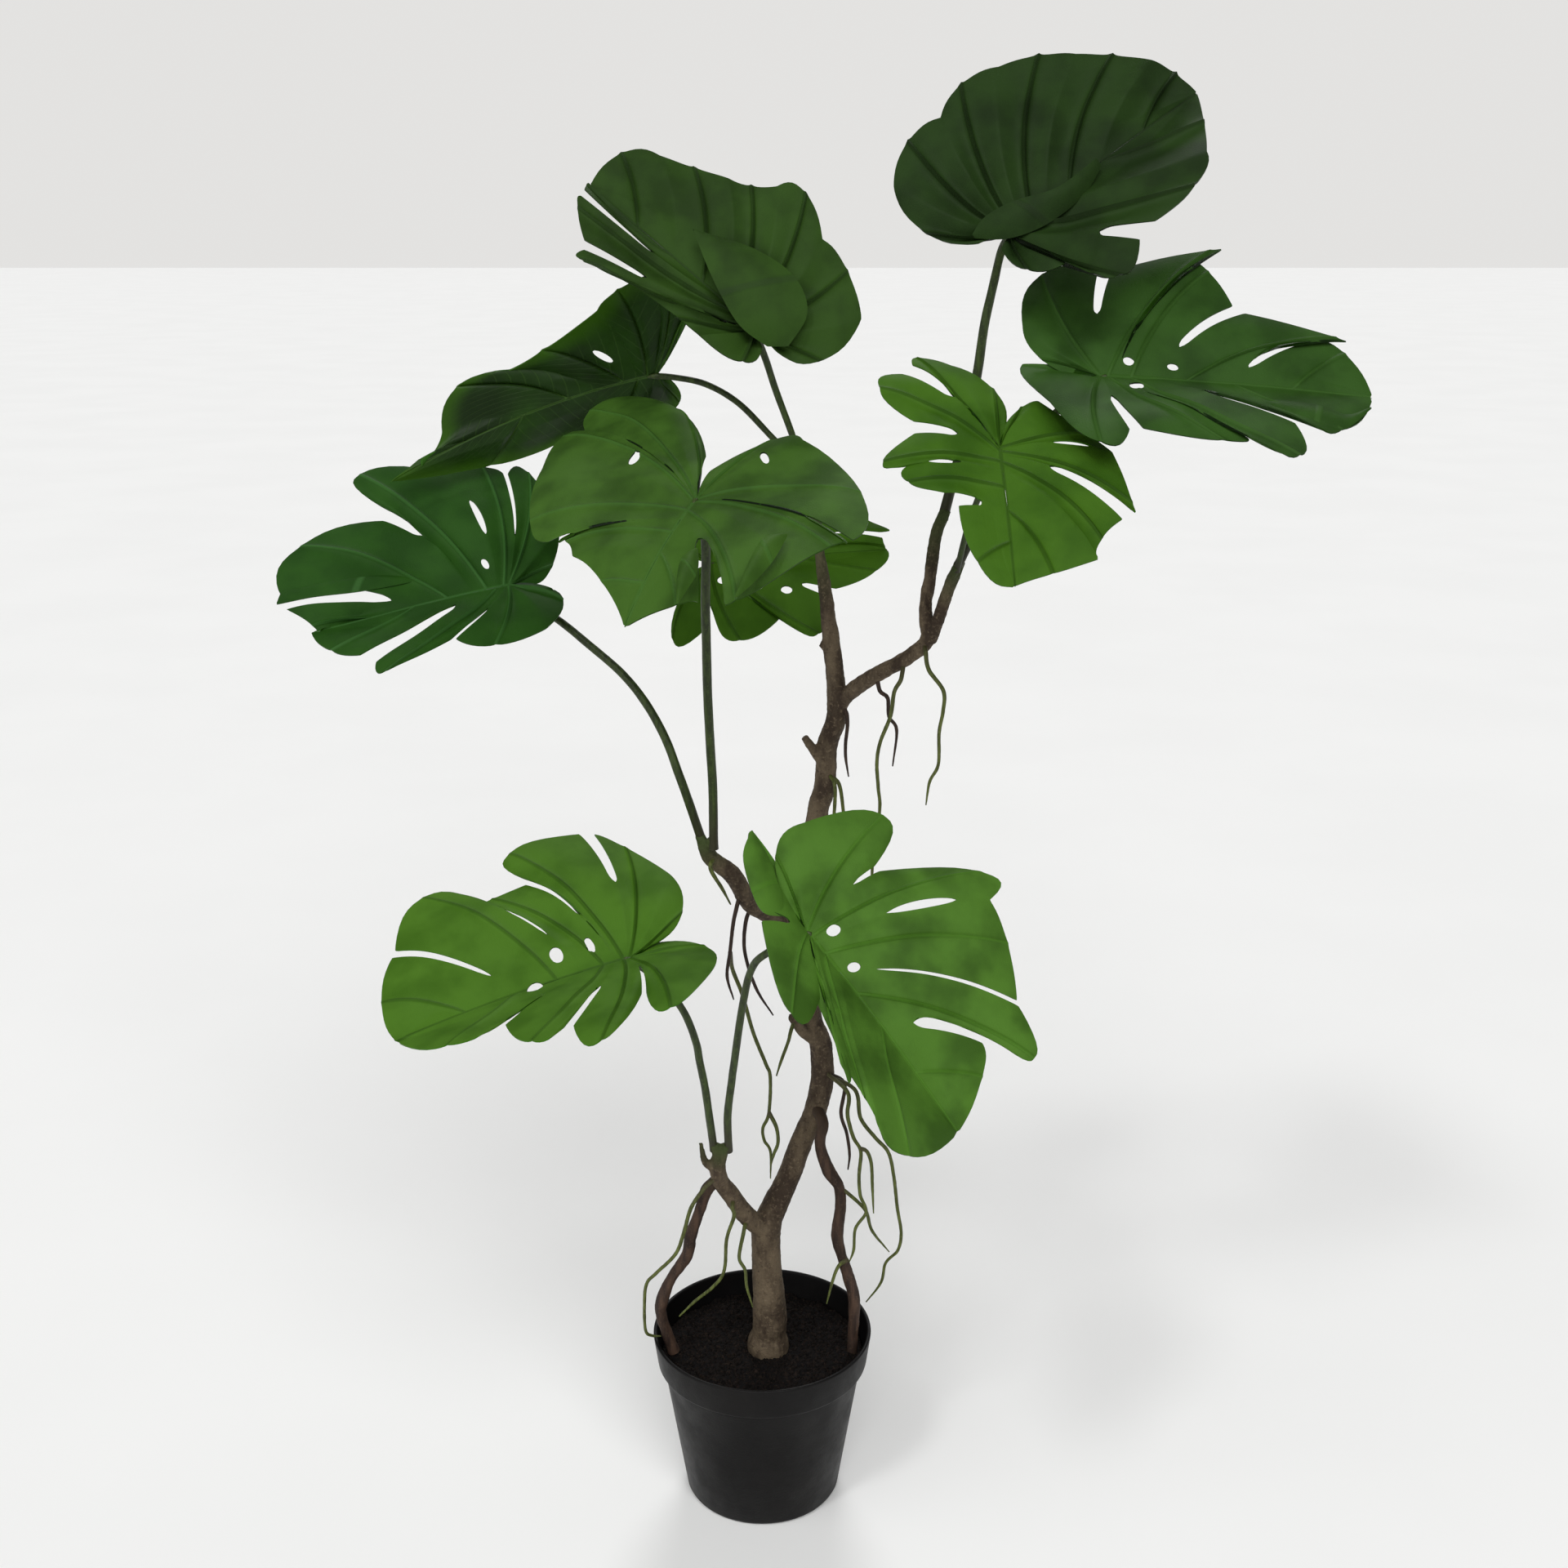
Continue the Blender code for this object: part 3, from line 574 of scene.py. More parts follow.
class StrandMaker:
    """Geometry Nodes that clothe a centre line with a round, slightly uneven skin."""

    def __init__(self) -> None:
        """Build the tree once for every strand."""
        self.tree = bpy.data.node_groups.new("strand_skin", "GeometryNodeTree")
        face = self.tree.interface
        face.new_socket("Line", in_out="INPUT", socket_type="NodeSocketGeometry")
        self.sockets = {}
        for name, kind in (("Sides", "NodeSocketInt"), ("Ripple Height", "NodeSocketFloat"),
                           ("Ripple Size", "NodeSocketFloat"), ("Seed", "NodeSocketFloat"),
                           ("Finish", "NodeSocketMaterial")):
            self.sockets[name] = face.new_socket(name, in_out="INPUT", socket_type=kind).identifier
        face.new_socket("Skin", in_out="OUTPUT", socket_type="NodeSocketGeometry")
        tree = self.tree
        given = add_node(tree, "NodeGroupInput").outputs
        share = add_node(tree, "GeometryNodeSplineParameter").outputs["Factor"]
        line = add_node(tree, "GeometryNodeStoreNamedAttribute", {"data_type": "FLOAT", "domain": "POINT"},
                        {"Geometry": given["Line"], "Name": "share", "Value": share}).outputs[0]
        ring = add_node(tree, "GeometryNodeCurvePrimitiveCircle", {"mode": "RADIUS"},
                        {"Resolution": given["Sides"], "Radius": 1.0}).outputs[0]
        radius = add_node(tree, "GeometryNodeInputRadius").outputs[0]
        skin = add_node(tree, "GeometryNodeCurveToMesh", None, {
            "Curve": line, "Profile Curve": ring, "Scale": radius, "Fill Caps": True}).outputs[0]
        bumps = add_node(
            tree, "ShaderNodeTexNoise", {"noise_dimensions": "4D"},
            {
                "W": given["Seed"],
                "Scale": add_node(
                    tree, "ShaderNodeMath", {"operation": "DIVIDE"},
                    {0: 1.0, 1: given["Ripple Size"]}).outputs[0],
                "Detail": 2.0}).outputs[0]
        height = add_node(
            tree, "ShaderNodeMath", {"operation": "MULTIPLY"},
            {
                0: add_node(
                    tree, "ShaderNodeMath", {"operation": "SUBTRACT"}, {0: bumps, 1: 0.5}).outputs[0],
                1: given["Ripple Height"]}).outputs[0]
        normal = add_node(tree, "GeometryNodeInputNormal").outputs[0]
        push = add_node(
            tree, "ShaderNodeVectorMath", {"operation": "SCALE"}, {0: normal, "Scale": height}).outputs[0]
        skin = add_node(tree, "GeometryNodeSetPosition", None, {"Geometry": skin, "Offset": push}).outputs[0]
        skin = add_node(
            tree, "GeometryNodeSetShadeSmooth", None, {"Geometry": skin, "Shade Smooth": True}).outputs[0]
        skin = add_node(tree, "GeometryNodeRealizeInstances", None, {0: skin}).outputs[0]
        skin = add_node(
            tree, "GeometryNodeSetMaterial", None,
            {"Geometry": skin, "Material": given["Finish"]}).outputs[0]
        add_node(tree, "NodeGroupOutput", None, {0: skin})

    def make(self, name: str, points: tuple[Point, ...], radii: tuple[float, ...], finish: bpy.types.Material,
             sides: int = 12, step: float = 2.5, ripple: float = 0.0, ripple_size: float = 6.0,
             seed: float = 0.0) -> bpy.types.Object:
        """Make one strand.

        Args:
            name: the piece's name.
            points: its centre line in millimetres.
            radii: radius in millimetres at each point, or just at both ends.
            finish: its material.
            sides: corners of its section.
            step: distance between rings in millimetres.
            ripple: height of the unevenness in millimetres.
            ripple_size: width of the unevenness in millimetres.
            seed: which unevenness.

        Returns:
            The strand as a plain closed mesh piece.
        """
        line = smooth_line(points, step)
        given = radii if len(radii) == len(points) else np.linspace(radii[0], radii[-1], len(points))
        wide = np.interp(line[:, 3], np.arange(len(points)), given)
        curve = bpy.data.curves.new(name, "CURVE")
        curve.dimensions = "3D"
        spline = curve.splines.new("POLY")
        spline.points.add(len(line) - 1)
        for target, place, radius in zip(spline.points, line[:, :3], wide):
            target.co = (*(place * MM), 1.0)
            target.radius = radius * MM
        draft = bpy.data.objects.new(name, curve)
        bpy.context.scene.collection.objects.link(draft)
        skin = draft.modifiers.new("skin", "NODES")
        skin.node_group = self.tree
        for label, value in (("Sides", sides), ("Ripple Height", ripple * MM),
                             ("Ripple Size", ripple_size * MM), ("Seed", seed), ("Finish", finish)):
            skin[self.sockets[label]] = value
        made = settle(name, draft)
        bm = bmesh.new()
        bm.from_mesh(made.data)
        bmesh.ops.remove_doubles(bm, verts=bm.verts, dist=0.00001)
        face_outwards(bm)
        bm.to_mesh(made.data)
        bm.free()
        return made


# ---------------------------------------------------------------- leaves
class Hand(Enum):
    """Which half of a blade, seen from above with the tip ahead."""

    LEFT = 1
    RIGHT = -1


@dataclass(frozen=True)
class Lobe:
    """One finger of a blade: its own vein, the edge that ends it, and its cut."""

    vein: tuple[float, float]
    edge: tuple[float, float]
    slit: tuple[float, float] | None = None
    hole: tuple[float, float, float] | None = None
    curl: float = -22.0
    rise: float | None = None
    blunt: float = 2.6

    @property
    def lift(self) -> float:
        """Angle at which the finger leaves the midrib."""
        return -self.curl / 3 if self.rise is None else self.rise

    def gap(self, part: float) -> float:
        """Give the width of the cut at a part of the edge's length.

        Args:
            part: share of the way from midrib to margin.

        Returns:
            The width in millimetres.
        """
        wide = 0.0
        if self.slit and part > self.slit[0]:
            x = (part - self.slit[0]) / (1 - self.slit[0])
            wide = self.slit[1] * (0.45 * min(1.0, math.sqrt(x / 0.12)) + 0.55 * x)
        if self.hole and self.hole[0] < part < self.hole[1]:
            turn = (part - self.hole[0]) / (self.hole[1] - self.hole[0])
            wide = max(wide, self.hole[2] * math.sqrt(math.sin(math.pi * turn)))
        return wide


@dataclass(frozen=True)
class LeafPlan:
    """Where one leaf sits, how it turns, and its fingers from the sinus to the tip."""

    finish: str
    at: Point
    heading: tuple[float, float]
    roll: float
    length: float
    fold: float
    droop: float
    left_sinus: tuple[float, float]
    left: tuple[Lobe, ...]
    right_sinus: tuple[float, float]
    right: tuple[Lobe, ...]
    quilt: float = 1.5


# The vein colours of leaves f, g and i are darker than their blades: painted shade of the sunken vein groove.
LEAF_FINISHES: dict[str, LeafFinish] = {
    "a": LeafFinish(
        "leaf_a_dye", "leaf_deep", "060e04", "020401", "16280b", "192313", "223813", 0.3, 0.3, 0.28),
    "b": LeafFinish(
        "leaf_b_dye", "leaf_deep", "0b1705", "050c02", "1f3908", "202e1a", "2c4715", 0.35, 0.34, 0.18),
    "c": LeafFinish(
        "leaf_c_dye", "leaf_mid", "1f3d0a", "132706", "345a0d", "4d6f2f", "315c18", 0.4, 0.45, 0.16),
    "d": LeafFinish(
        "leaf_d_dye", "leaf_deep", "0f2e07", "0b2007", "26510c", "447239", "254b13", 0.5, 0.38, 0.2),
    "e": LeafFinish(
        "leaf_e_dye", "leaf_deep", "071c01", "041201", "2a4c09", "3d662a", "3c5e1e", 0.65, 0.42, 0.099),
    "f": LeafFinish(
        "leaf_f_dye", "leaf_bright", "234501", "183301", "3b680b", "1c3a02", "406814", 0.5, 0.42, 0.088),
    "g": LeafFinish(
        "leaf_g_dye", "leaf_bright", "193a00", "0e2a00", "315f02", "092001", "3c6213", 0.8, 0.42, 0.088),
    "h": LeafFinish(
        "leaf_h_dye", "leaf_deep", "0a1f02", "051301", "1d3d04", "3d6027", "2f501a", 0.6, 0.42, 0.121),
    "i": LeafFinish(
        "leaf_i_dye", "leaf_bright", "264a00", "173700", "3d7202", "0e2b01", "466e1c", 0.8, 0.42, 0.088),
    "j": LeafFinish(
        "leaf_j_dye", "leaf_mid", "0f2602", "071a01", "2b5307", "48761f", "4a7225", 0.65, 0.42, 0.099)}
LEAVES: dict[str, LeafPlan] = {
    "a": LeafPlan("a", (142, -30, 847), (16, 37), 45, 139, 12, 10, 
        (156, 18), (Lobe((137, 49), (115, 73)),
            Lobe((94, 84), (78, 83)),
            Lobe((66, 99), (53, 104)),
            Lobe((41, 113), (31, 118)),
            Lobe((22, 127), (13, 136)),
            Lobe((7, 140), (0, 139))),
        (150, 12), (Lobe((110, 34), (80, 46), rise=12),
            Lobe((75, 77), (51, 79), slit=(0.68, 14)),
            Lobe((34, 106), (23, 117)),
            Lobe((10, 128), (0, 139))), quilt=4.0),
    "b": LeafPlan("b", (-2, -10, 793), (163, 40), -50, 131, 12, 8, 
        (150, 12), (Lobe((112, 26), (60, 36), rise=12),
            Lobe((42, 46), (27, 80)),
            Lobe((26, 108), (20, 110), slit=(0.6, 7)),
            Lobe((9, 127), (4, 131), slit=(0.45, 7)),
            Lobe((0, 134), (0, 131))),
        (180, 16), (Lobe((162, 43), (130, 64)),
            Lobe((103, 67), (83, 68)),
            Lobe((67, 90), (56, 89)),
            Lobe((46, 89), (38, 94)),
            Lobe((28, 107), (20, 121)),
            Lobe((12, 135), (0, 131))), quilt=3.0),
    "c": LeafPlan("c", (-64, 50, 763), (176, -12), 60, 178, 5, 36, 
        (140, 9), (Lobe((130, 45), (127, 73)),
            Lobe((110, 85), (105, 69)),
            Lobe((83, 62), (66, 56)),
            Lobe((29, 72), (18, 94)),
            Lobe((15, 123), (4, 137)),
            Lobe((0, 154), (0, 173))),
        (150, 8), (Lobe((110, 26), (65, 34)),
            Lobe((40, 58), (24, 82)),
            Lobe((13, 120), (0, 173))), quilt=3.0),
    "d": LeafPlan("d", (-154, 10, 639), (-156, -7), -34, 123, 12, 6, 
        (141, 19), (Lobe((135, 37), (96, 54)),
            Lobe((64, 63), (41, 66), slit=(0.47, 3)),
            Lobe((32, 113), (23, 108), slit=(0.22, 14), blunt=1.7),
            Lobe((11, 120), (0, 123))),
        (194, 14), (Lobe((166, 32), (139, 61)),
            Lobe((116, 89), (106, 85), slit=(0.42, 3)),
            Lobe((97, 91), (83, 92), hole=(0.4, 0.7, 4)),
            Lobe((57, 121), (51, 85), slit=(0.68, 14)),
            Lobe((28, 129), (10, 141), slit=(0.18, 14)),
            Lobe((2, 122), (0, 123))), quilt=2.2),
    "e": LeafPlan("e", (-33, -100, 708), (-116, -24), 0, 98, -2, 22, 
        (190, 29), (Lobe((167, 69), (154, 78)),
            Lobe((103, 94), (77, 107), slit=(0.68, 5)),
            Lobe((73, 98), (56, 96)),
            Lobe((37, 102), (30, 98), slit=(0.35, 16)),
            Lobe((17, 87), (0, 93))),
        (160, 48), (Lobe((148, 116), (137, 157)),
            Lobe((128, 158), (121, 126), slit=(0.86, 3)),
            Lobe((117, 140), (102, 120)),
            Lobe((74, 100), (57, 85), slit=(0.82, 8)),
            Lobe((57, 77), (44, 76)),
            Lobe((20, 76), (0, 93))), quilt=1.2),
    "f": LeafPlan("f", (-33, 90, 638), (-7, 7), 48, 116, 6, 5, 
        (160, 12), (Lobe((130, 50), (105, 54)),
            Lobe((78, 58), (58, 62)),
            Lobe((11, 108), (5, 115), slit=(0.65, 5)),
            Lobe((1, 116), (0, 116))),
        (160, 12), (Lobe((112, 64), (85, 49), slit=(0.7, 6)),
            Lobe((72, 69), (45, 70), slit=(0.8, 5)),
            Lobe((42, 98), (22, 86), slit=(0.7, 8)),
            Lobe((9, 111), (0, 116))), quilt=1.5),
    "g": LeafPlan("g", (134, -85, 734), (-87, -38), 0, 92, 5, 14, 
        (163, 18), (Lobe((153, 34), (143, 43)),
            Lobe((95, 52), (80, 63), hole=(0.45, 0.79, 4)),
            Lobe((55, 83), (49, 85), slit=(0.35, 9)),
            Lobe((34, 86), (28, 95)),
            Lobe((13, 90), (0, 90))),
        (196, 19), (Lobe((182, 47), (161, 67)),
            Lobe((150, 81), (141, 75), slit=(0.57, 11), blunt=2.0),
            Lobe((123, 78), (106, 45), slit=(0.55, 12)),
            Lobe((78, 69), (73, 55), hole=(0.45, 0.79, 4)),
            Lobe((63, 61), (38, 46), slit=(0.5, 12)),
            Lobe((14, 81), (0, 90))), quilt=1.5),
    "h": LeafPlan("h", (193, -50, 770), (-4, -2), 37, 154, 14, 6, 
        (196, 9), (Lobe((161, 35), (144, 55)),
            Lobe((116, 78), (88, 73), slit=(0.55, 7)),
            Lobe((55, 112), (58, 95), slit=(0.35, 7)),
            Lobe((51, 100), (33, 94), slit=(0.35, 8)),
            Lobe((15, 140), (17, 123), slit=(0.25, 9)),
            Lobe((11, 142), (0, 154))),
        (146, 11), (Lobe((196, 45), (132, 43)),
            Lobe((92, 75), (74, 60), slit=(0.47, 8)),
            Lobe((46, 93), (39, 100), slit=(0.3, 3)),
            Lobe((37, 130), (18, 111), slit=(0.38, 16)),
            Lobe((18, 138), (0, 154))), quilt=1.5),
    "i": LeafPlan("i", (-78, -75, 427), (-162, -10), -10, 146, 14, 8, 
        (213, 23), (Lobe((165, 46), (126, 67)),
            Lobe((91, 96), (85, 59), slit=(0.47, 8)),
            Lobe((69, 119), (55, 93), slit=(0.5, 8)),
            Lobe((47, 113), (25, 96), slit=(0.8, 7)),
            Lobe((20, 128), (0, 146))),
        (162, 19), (Lobe((148, 50), (127, 74)),
            Lobe((105, 98), (93, 117), slit=(0.53, 10)),
            Lobe((68, 125), (65, 96), slit=(0.45, 6)),
            Lobe((51, 106), (47, 106), slit=(0.42, 5)),
            Lobe((44, 148), (26, 149), slit=(0.23, 5)),
            Lobe((12, 152), (0, 146))), quilt=1.5),
    "j": LeafPlan("j", (28, -115, 460), (-28, -44), 22, 145, 17, 10, 
        (176, 15), (Lobe((162, 49), (142, 66)),
            Lobe((107, 88), (93, 56), slit=(0.72, 6)),
            Lobe((71, 116), (62, 115), hole=(0.42, 0.79, 5)),
            Lobe((49, 123), (34, 134), slit=(0.22, 2.5)),
            Lobe((24, 155), (24, 119), slit=(0.3, 14)),
            Lobe((14, 133), (0, 143))),
        (170, 15), (Lobe((197, 71), (135, 33), slit=(0.4, 6)),
            Lobe((60, 66), (35, 41), slit=(0.5, 6)),
            Lobe((35, 90), (32, 95)),
            Lobe((29, 107), (27, 120)),
            Lobe((20, 143), (0, 143))), quilt=1.5),
}


@dataclass
class Blade:
    """One split leaf: a grid for each finger, pressed veins and quilting, and a real thickness."""

    letter: str
    plan: LeafPlan
    finish: LeafFinish
    rows: int = 40
    shares: int = 12
    bow: float = 14.0
    thickness: float = 0.9
    columns: tuple[float, ...] = (
        0, 0.03, 0.08, 0.15, 0.22, 0.3, 0.38, 0.44, 0.475, 0.5, 0.525, 0.56, 0.62, 0.7, 0.78, 0.85, 0.92,
        0.97, 1)

    def __post_init__(self) -> None:
        """Work out the blade's own axes."""
        azimuth, rise = (math.radians(value) for value in self.plan.heading)
        self.heading = np.array(
            [math.cos(azimuth) * math.cos(rise), math.sin(azimuth) * math.cos(rise), math.sin(rise)])
        up = np.array([0.0, 0.0, 1.0]) - self.heading[2] * self.heading
        up /= np.linalg.norm(up)
        side = np.cross(up, self.heading)
        roll = math.radians(self.plan.roll)
        self.side = side * math.cos(roll) + up * math.sin(roll)
        self.up = up * math.cos(roll) - side * math.sin(roll)
        self.at = np.array(self.plan.at, float)

    def spine(self, part: float) -> tuple[np.ndarray, np.ndarray, np.ndarray]:
        """Find the midrib at a part of its length.

        Args:
            part: share of the length.

        Returns:
            The point, the direction along the rib and the upward direction.
        """
        bend = math.radians(self.plan.droop)
        turns = (np.arange(24) + 0.5) / 24 * part * -bend
        step = self.plan.length * part / 24
        point = self.at + step * (np.cos(turns).sum() * self.heading + np.sin(turns).sum() * self.up)
        angle = -bend * part
        along = self.heading * math.cos(angle) + self.up * math.sin(angle)
        return point, along, self.up * math.cos(angle) - self.heading * math.sin(angle)

    def ray(self, hand: Hand, share: float, target: tuple[float, float], lift: float,
            curl: float) -> np.ndarray:
        """Run a line from the midrib out to the margin.

        Args:
            hand: half of the blade.
            share: place among the columns, 0 at the stalk and 1 at the tip.
            target: angle off the midrib and reach of the margin, from the stalk's end.
            lift: rise of the line where it leaves the rib.
            curl: turning out of the blade's plane along the line.

        Returns:
            Points in millimetres, one more than the rows.
        """
        part = share ** 4
        start, along, normal = self.spine(part)
        if part > 0.999:
            return np.repeat(start[None, :], self.rows + 1, axis=0)
        fold = math.radians(self.plan.fold)
        out = hand.value * self.side * math.cos(fold) + normal * math.sin(fold)
        face = normal * math.cos(fold) - hand.value * self.side * math.sin(fold)
        turn = math.radians(target[0])
        run = target[1] * math.cos(turn) - part * self.plan.length
        across = target[1] * math.sin(turn)
        total, way = math.hypot(run, across), math.atan2(across, run)
        bow = math.radians(self.bow) * min(1.0, total / 60) * (1 if target[0] < 150 else 0)
        steps = 2
        t = (np.arange(self.rows * steps) + 0.5) / (self.rows * steps)
        yaw, rise = way + bow * (1 - 2 * t), np.radians(lift + curl * t * t)
        flat = np.cos(yaw)[:, None] * along + np.sin(yaw)[:, None] * out
        move = (flat * np.cos(rise)[:, None] + np.sin(rise)[:, None] * face) * total / (self.rows * steps)
        return np.vstack([start, start + np.cumsum(move, axis=0)[steps - 1::steps]])

    def finger(self, hand: Hand, index: int, lobes: tuple[Lobe, ...], sinus: tuple[float, float],
               shares: tuple[float, float]) -> tuple[np.ndarray, np.ndarray]:
        """Lay the grid of one finger.

        Args:
            hand: half of the blade.
            index: which finger.
            lobes: all fingers of this half.
            sinus: edge beside the stalk.
            shares: the finger's first and last place among the columns.

        Returns:
            Grid of points in millimetres, and its chart: distance from the vein, along it and to the rim.
        """
        lobe, first, last = lobes[index], *shares
        before = lobes[index - 1] if index else lobe
        after = lobes[index + 1] if index + 1 < len(lobes) else lobe
        start_edge = lobes[index - 1].edge if index else sinus
        t = np.arange(self.rows + 1) / self.rows
        ends = []
        for share, edge, other, cut in ((first, start_edge, before, before if index else None),
                                        (last, lobe.edge, after, lobe)):
            line = self.ray(hand, share, edge, (lobe.lift + other.lift) / 2, (lobe.curl + other.curl) / 2)
            if cut and cut.slit and other is not lobe:
                own = self.ray(hand, share, edge, lobe.lift, lobe.curl)
                free = np.clip((t - cut.slit[0]) / (1 - cut.slit[0]), 0, 1)
                free = (free * free * (3 - 2 * free))[:, None]
                line = line * (1 - free) + own * free
            ends.append(line)
        vein = self.ray(hand, (first + last) / 2, lobe.vein, lobe.lift, lobe.curl)
        cuts = [np.zeros(self.rows + 1), np.zeros(self.rows + 1)]
        for end, cut in ((0, before if index else None), (1, lobe if index + 1 < len(lobes) else None)):
            if cut:
                cuts[end] = np.array([cut.gap(part) / 2 for part in t])
        grid, chart = [], []
        for c in self.columns:
            line = (ends[0] * (1 - c) + ends[1] * c
                + (1 - abs(2 * c - 1) ** lobe.blunt) * (vein - (ends[0] + ends[1]) / 2))
            seat = self.spine((first + (last - first) * c) ** 4)[0]
            line = line + (seat - line[0]) * ((1 - t) ** 3)[:, None]
            for end, ratio in ((0, max(0.0, 1 - 2 * c)), (1, max(0.0, 2 * c - 1))):
                inward = vein - ends[end]
                room = np.maximum(np.linalg.norm(inward, axis=1), 0.01)
                line = line + inward / room[:, None] * (np.minimum(cuts[end], 0.75 * room) * ratio)[:, None]
            grid.append(line)
            run = np.concatenate([[0], np.cumsum(np.linalg.norm(np.diff(line, axis=0), axis=1))])
            chart.append(np.stack([run * 0, run, run[-1] - run], axis=1))
        grid, chart = np.array(grid), np.array(chart)
        middle = grid[len(self.columns) // 2]
        chart[:, :, 0] = np.linalg.norm(grid - middle[None], axis=2)
        side_room = np.minimum(
            np.linalg.norm(grid - grid[:1], axis=2), np.linalg.norm(grid - grid[-1:], axis=2))
        open_edge = np.maximum.accumulate((np.maximum(cuts[0], cuts[1]) > 0.2).astype(float))
        chart[:, :, 2] = np.minimum(chart[:, :, 2], side_room + 40 * (1 - open_edge))
        return self.press(grid, chart, hand), chart

    def press(self, grid: np.ndarray, chart: np.ndarray, hand: Hand) -> np.ndarray:
        """Press the vein groove and the quilting into a finger.

        Args:
            grid: the finger's flat grid.
            chart: its chart.
            hand: half of the blade.

        Returns:
            The grid with its relief.
        """
        normal = np.cross(np.gradient(grid, axis=0), np.gradient(grid, axis=1)) * -hand.value
        size = np.linalg.norm(normal, axis=2, keepdims=True)
        normal = np.where(size > 1e-6, normal / np.maximum(size, 1e-6), self.up)
        t = (np.arange(self.rows + 1) / self.rows)[None, :]
        u = np.abs(2 * np.array(self.columns) - 1)[:, None]
        grow = np.clip(t / 0.3, 0, 1) * (1 - 0.5 * np.clip((t - 0.6) / 0.4, 0, 1))
        puff = self.plan.quilt * np.sin(math.pi * np.sqrt(u)) * grow
        groove = 0.55 * np.exp(-(chart[:, :, 0] / 1.3) ** 2) * np.clip(t / 0.05, 0, 1) * (1 - 0.6 * t)
        height = puff - groove * (u < 0.999)
        wave = np.array(
            [
                [noise.noise(Vector(place) / 38 + Vector((ord(self.letter), 0, 0))) for place in line]
                for line in grid])
        return (grid + normal * height[:, :, None]
            + self.up * (wave * 2.2 * np.clip(t / 0.25, 0, 1))[:, :, None])

    def build(self) -> bpy.types.Object:
        """Build the leaf and dress it.

        Returns:
            The finished piece.
        """
        bm = bmesh.new()
        layer = bm.verts.layers.float_vector.new("leaf_chart")
        for hand, sinus, lobes in ((Hand.LEFT, self.plan.left_sinus, self.plan.left),
                                   (Hand.RIGHT, self.plan.right_sinus, self.plan.right)):
            counts = [2] * len(lobes)
            for spare in range(self.shares // 2 - len(lobes)):
                counts[-1 - spare % len(lobes)] += 2
            edges = np.concatenate([[0], np.cumsum(counts)]) / self.shares
            for index in range(len(lobes)):
                grid, chart = self.finger(hand, index, lobes, sinus, (edges[index], edges[index + 1]))
                verts = [[bm.verts.new(place * MM) for place in line] for line in grid]
                for line, values in zip(verts, chart):
                    for vert, value in zip(line, values):
                        vert[layer] = value
                for near, far in zip(verts, verts[1:]):
                    for row in range(self.rows):
                        ring = [near[row], far[row], far[row + 1], near[row + 1]]
                        bm.faces.new(ring[::-1] if hand is Hand.LEFT else ring)
        for near, far in FOLDS.get(self.letter, ()):
            self.turn_back(bm, layer, near, far)
        bmesh.ops.remove_doubles(bm, verts=bm.verts, dist=0.06 * MM)
        bmesh.ops.dissolve_degenerate(bm, edges=bm.edges, dist=0.02 * MM)
        bmesh.ops.smooth_vert(bm, verts=[v for v in bm.verts if v.is_boundary], factor=0.4, use_axis_x=True,
                              use_axis_y=True, use_axis_z=True)
        for hole in HOLES.get(self.letter, ()):
            self.pierce(bm, *hole)
        mesh = bpy.data.meshes.new(self.letter)
        bm.to_mesh(mesh)
        bm.free()
        draft = piece_from("draft", mesh)
        for finish in (self.finish.upper(), self.finish.lower()):
            mesh.materials.append(finish)
        shell = draft.modifiers.new("thickness", "SOLIDIFY")
        shell.thickness, shell.offset, shell.use_even_offset = self.thickness * MM, 0.0, False
        shell.material_offset, shell.material_offset_rim = 1, 0
        made = settle("blade_" + self.letter, draft)
        self.soften(made.data)
        return made

    def pierce(self, bm: bmesh.types.BMesh, along: float, beside: float, length: float, width: float,
               turn: float) -> None:
        """Open a round hole: take out what lies inside an ellipse and draw the edge onto it.

        Args:
            bm: the blade's mesh.
            along: distance of its middle along the rib in millimetres.
            beside: distance of its middle beside the rib.
            length: half of its length.
            width: half of its width.
            turn: angle of its length off the rib in degrees.
        """
        cosine, sine = math.cos(math.radians(turn)), math.sin(math.radians(turn))
        long_way = self.heading * cosine + self.side * sine
        short_way = self.side * cosine - self.heading * sine
        middle = self.at + along * self.heading + beside * self.side

        def place(spot: Vector) -> tuple[float, float]:
            """Find a spot in the hole's own measure, 1 being its edge."""
            off = np.array(spot) / MM - middle
            return float(off @ long_way) / length, float(off @ short_way) / width

        near = [edge for edge in bm.edges if all(math.hypot(*place(vert.co)) < 2.4 for vert in edge.verts)]
        bmesh.ops.subdivide_edges(bm, edges=near, cuts=2, use_grid_fill=True)
        inside = [face for face in bm.faces if math.hypot(*place(face.calc_center_median())) < 1]
        rim = {vert for face in inside for vert in face.verts if any(
            math.hypot(*place(other.calc_center_median())) >= 1 for other in vert.link_faces)}
        bmesh.ops.delete(bm, geom=inside, context="FACES")
        for vert in rim:
            x, y = place(vert.co)
            pull = 1 / math.hypot(x, y) - 1
            vert.co += Vector((long_way * x * length + short_way * y * width) * pull * MM)

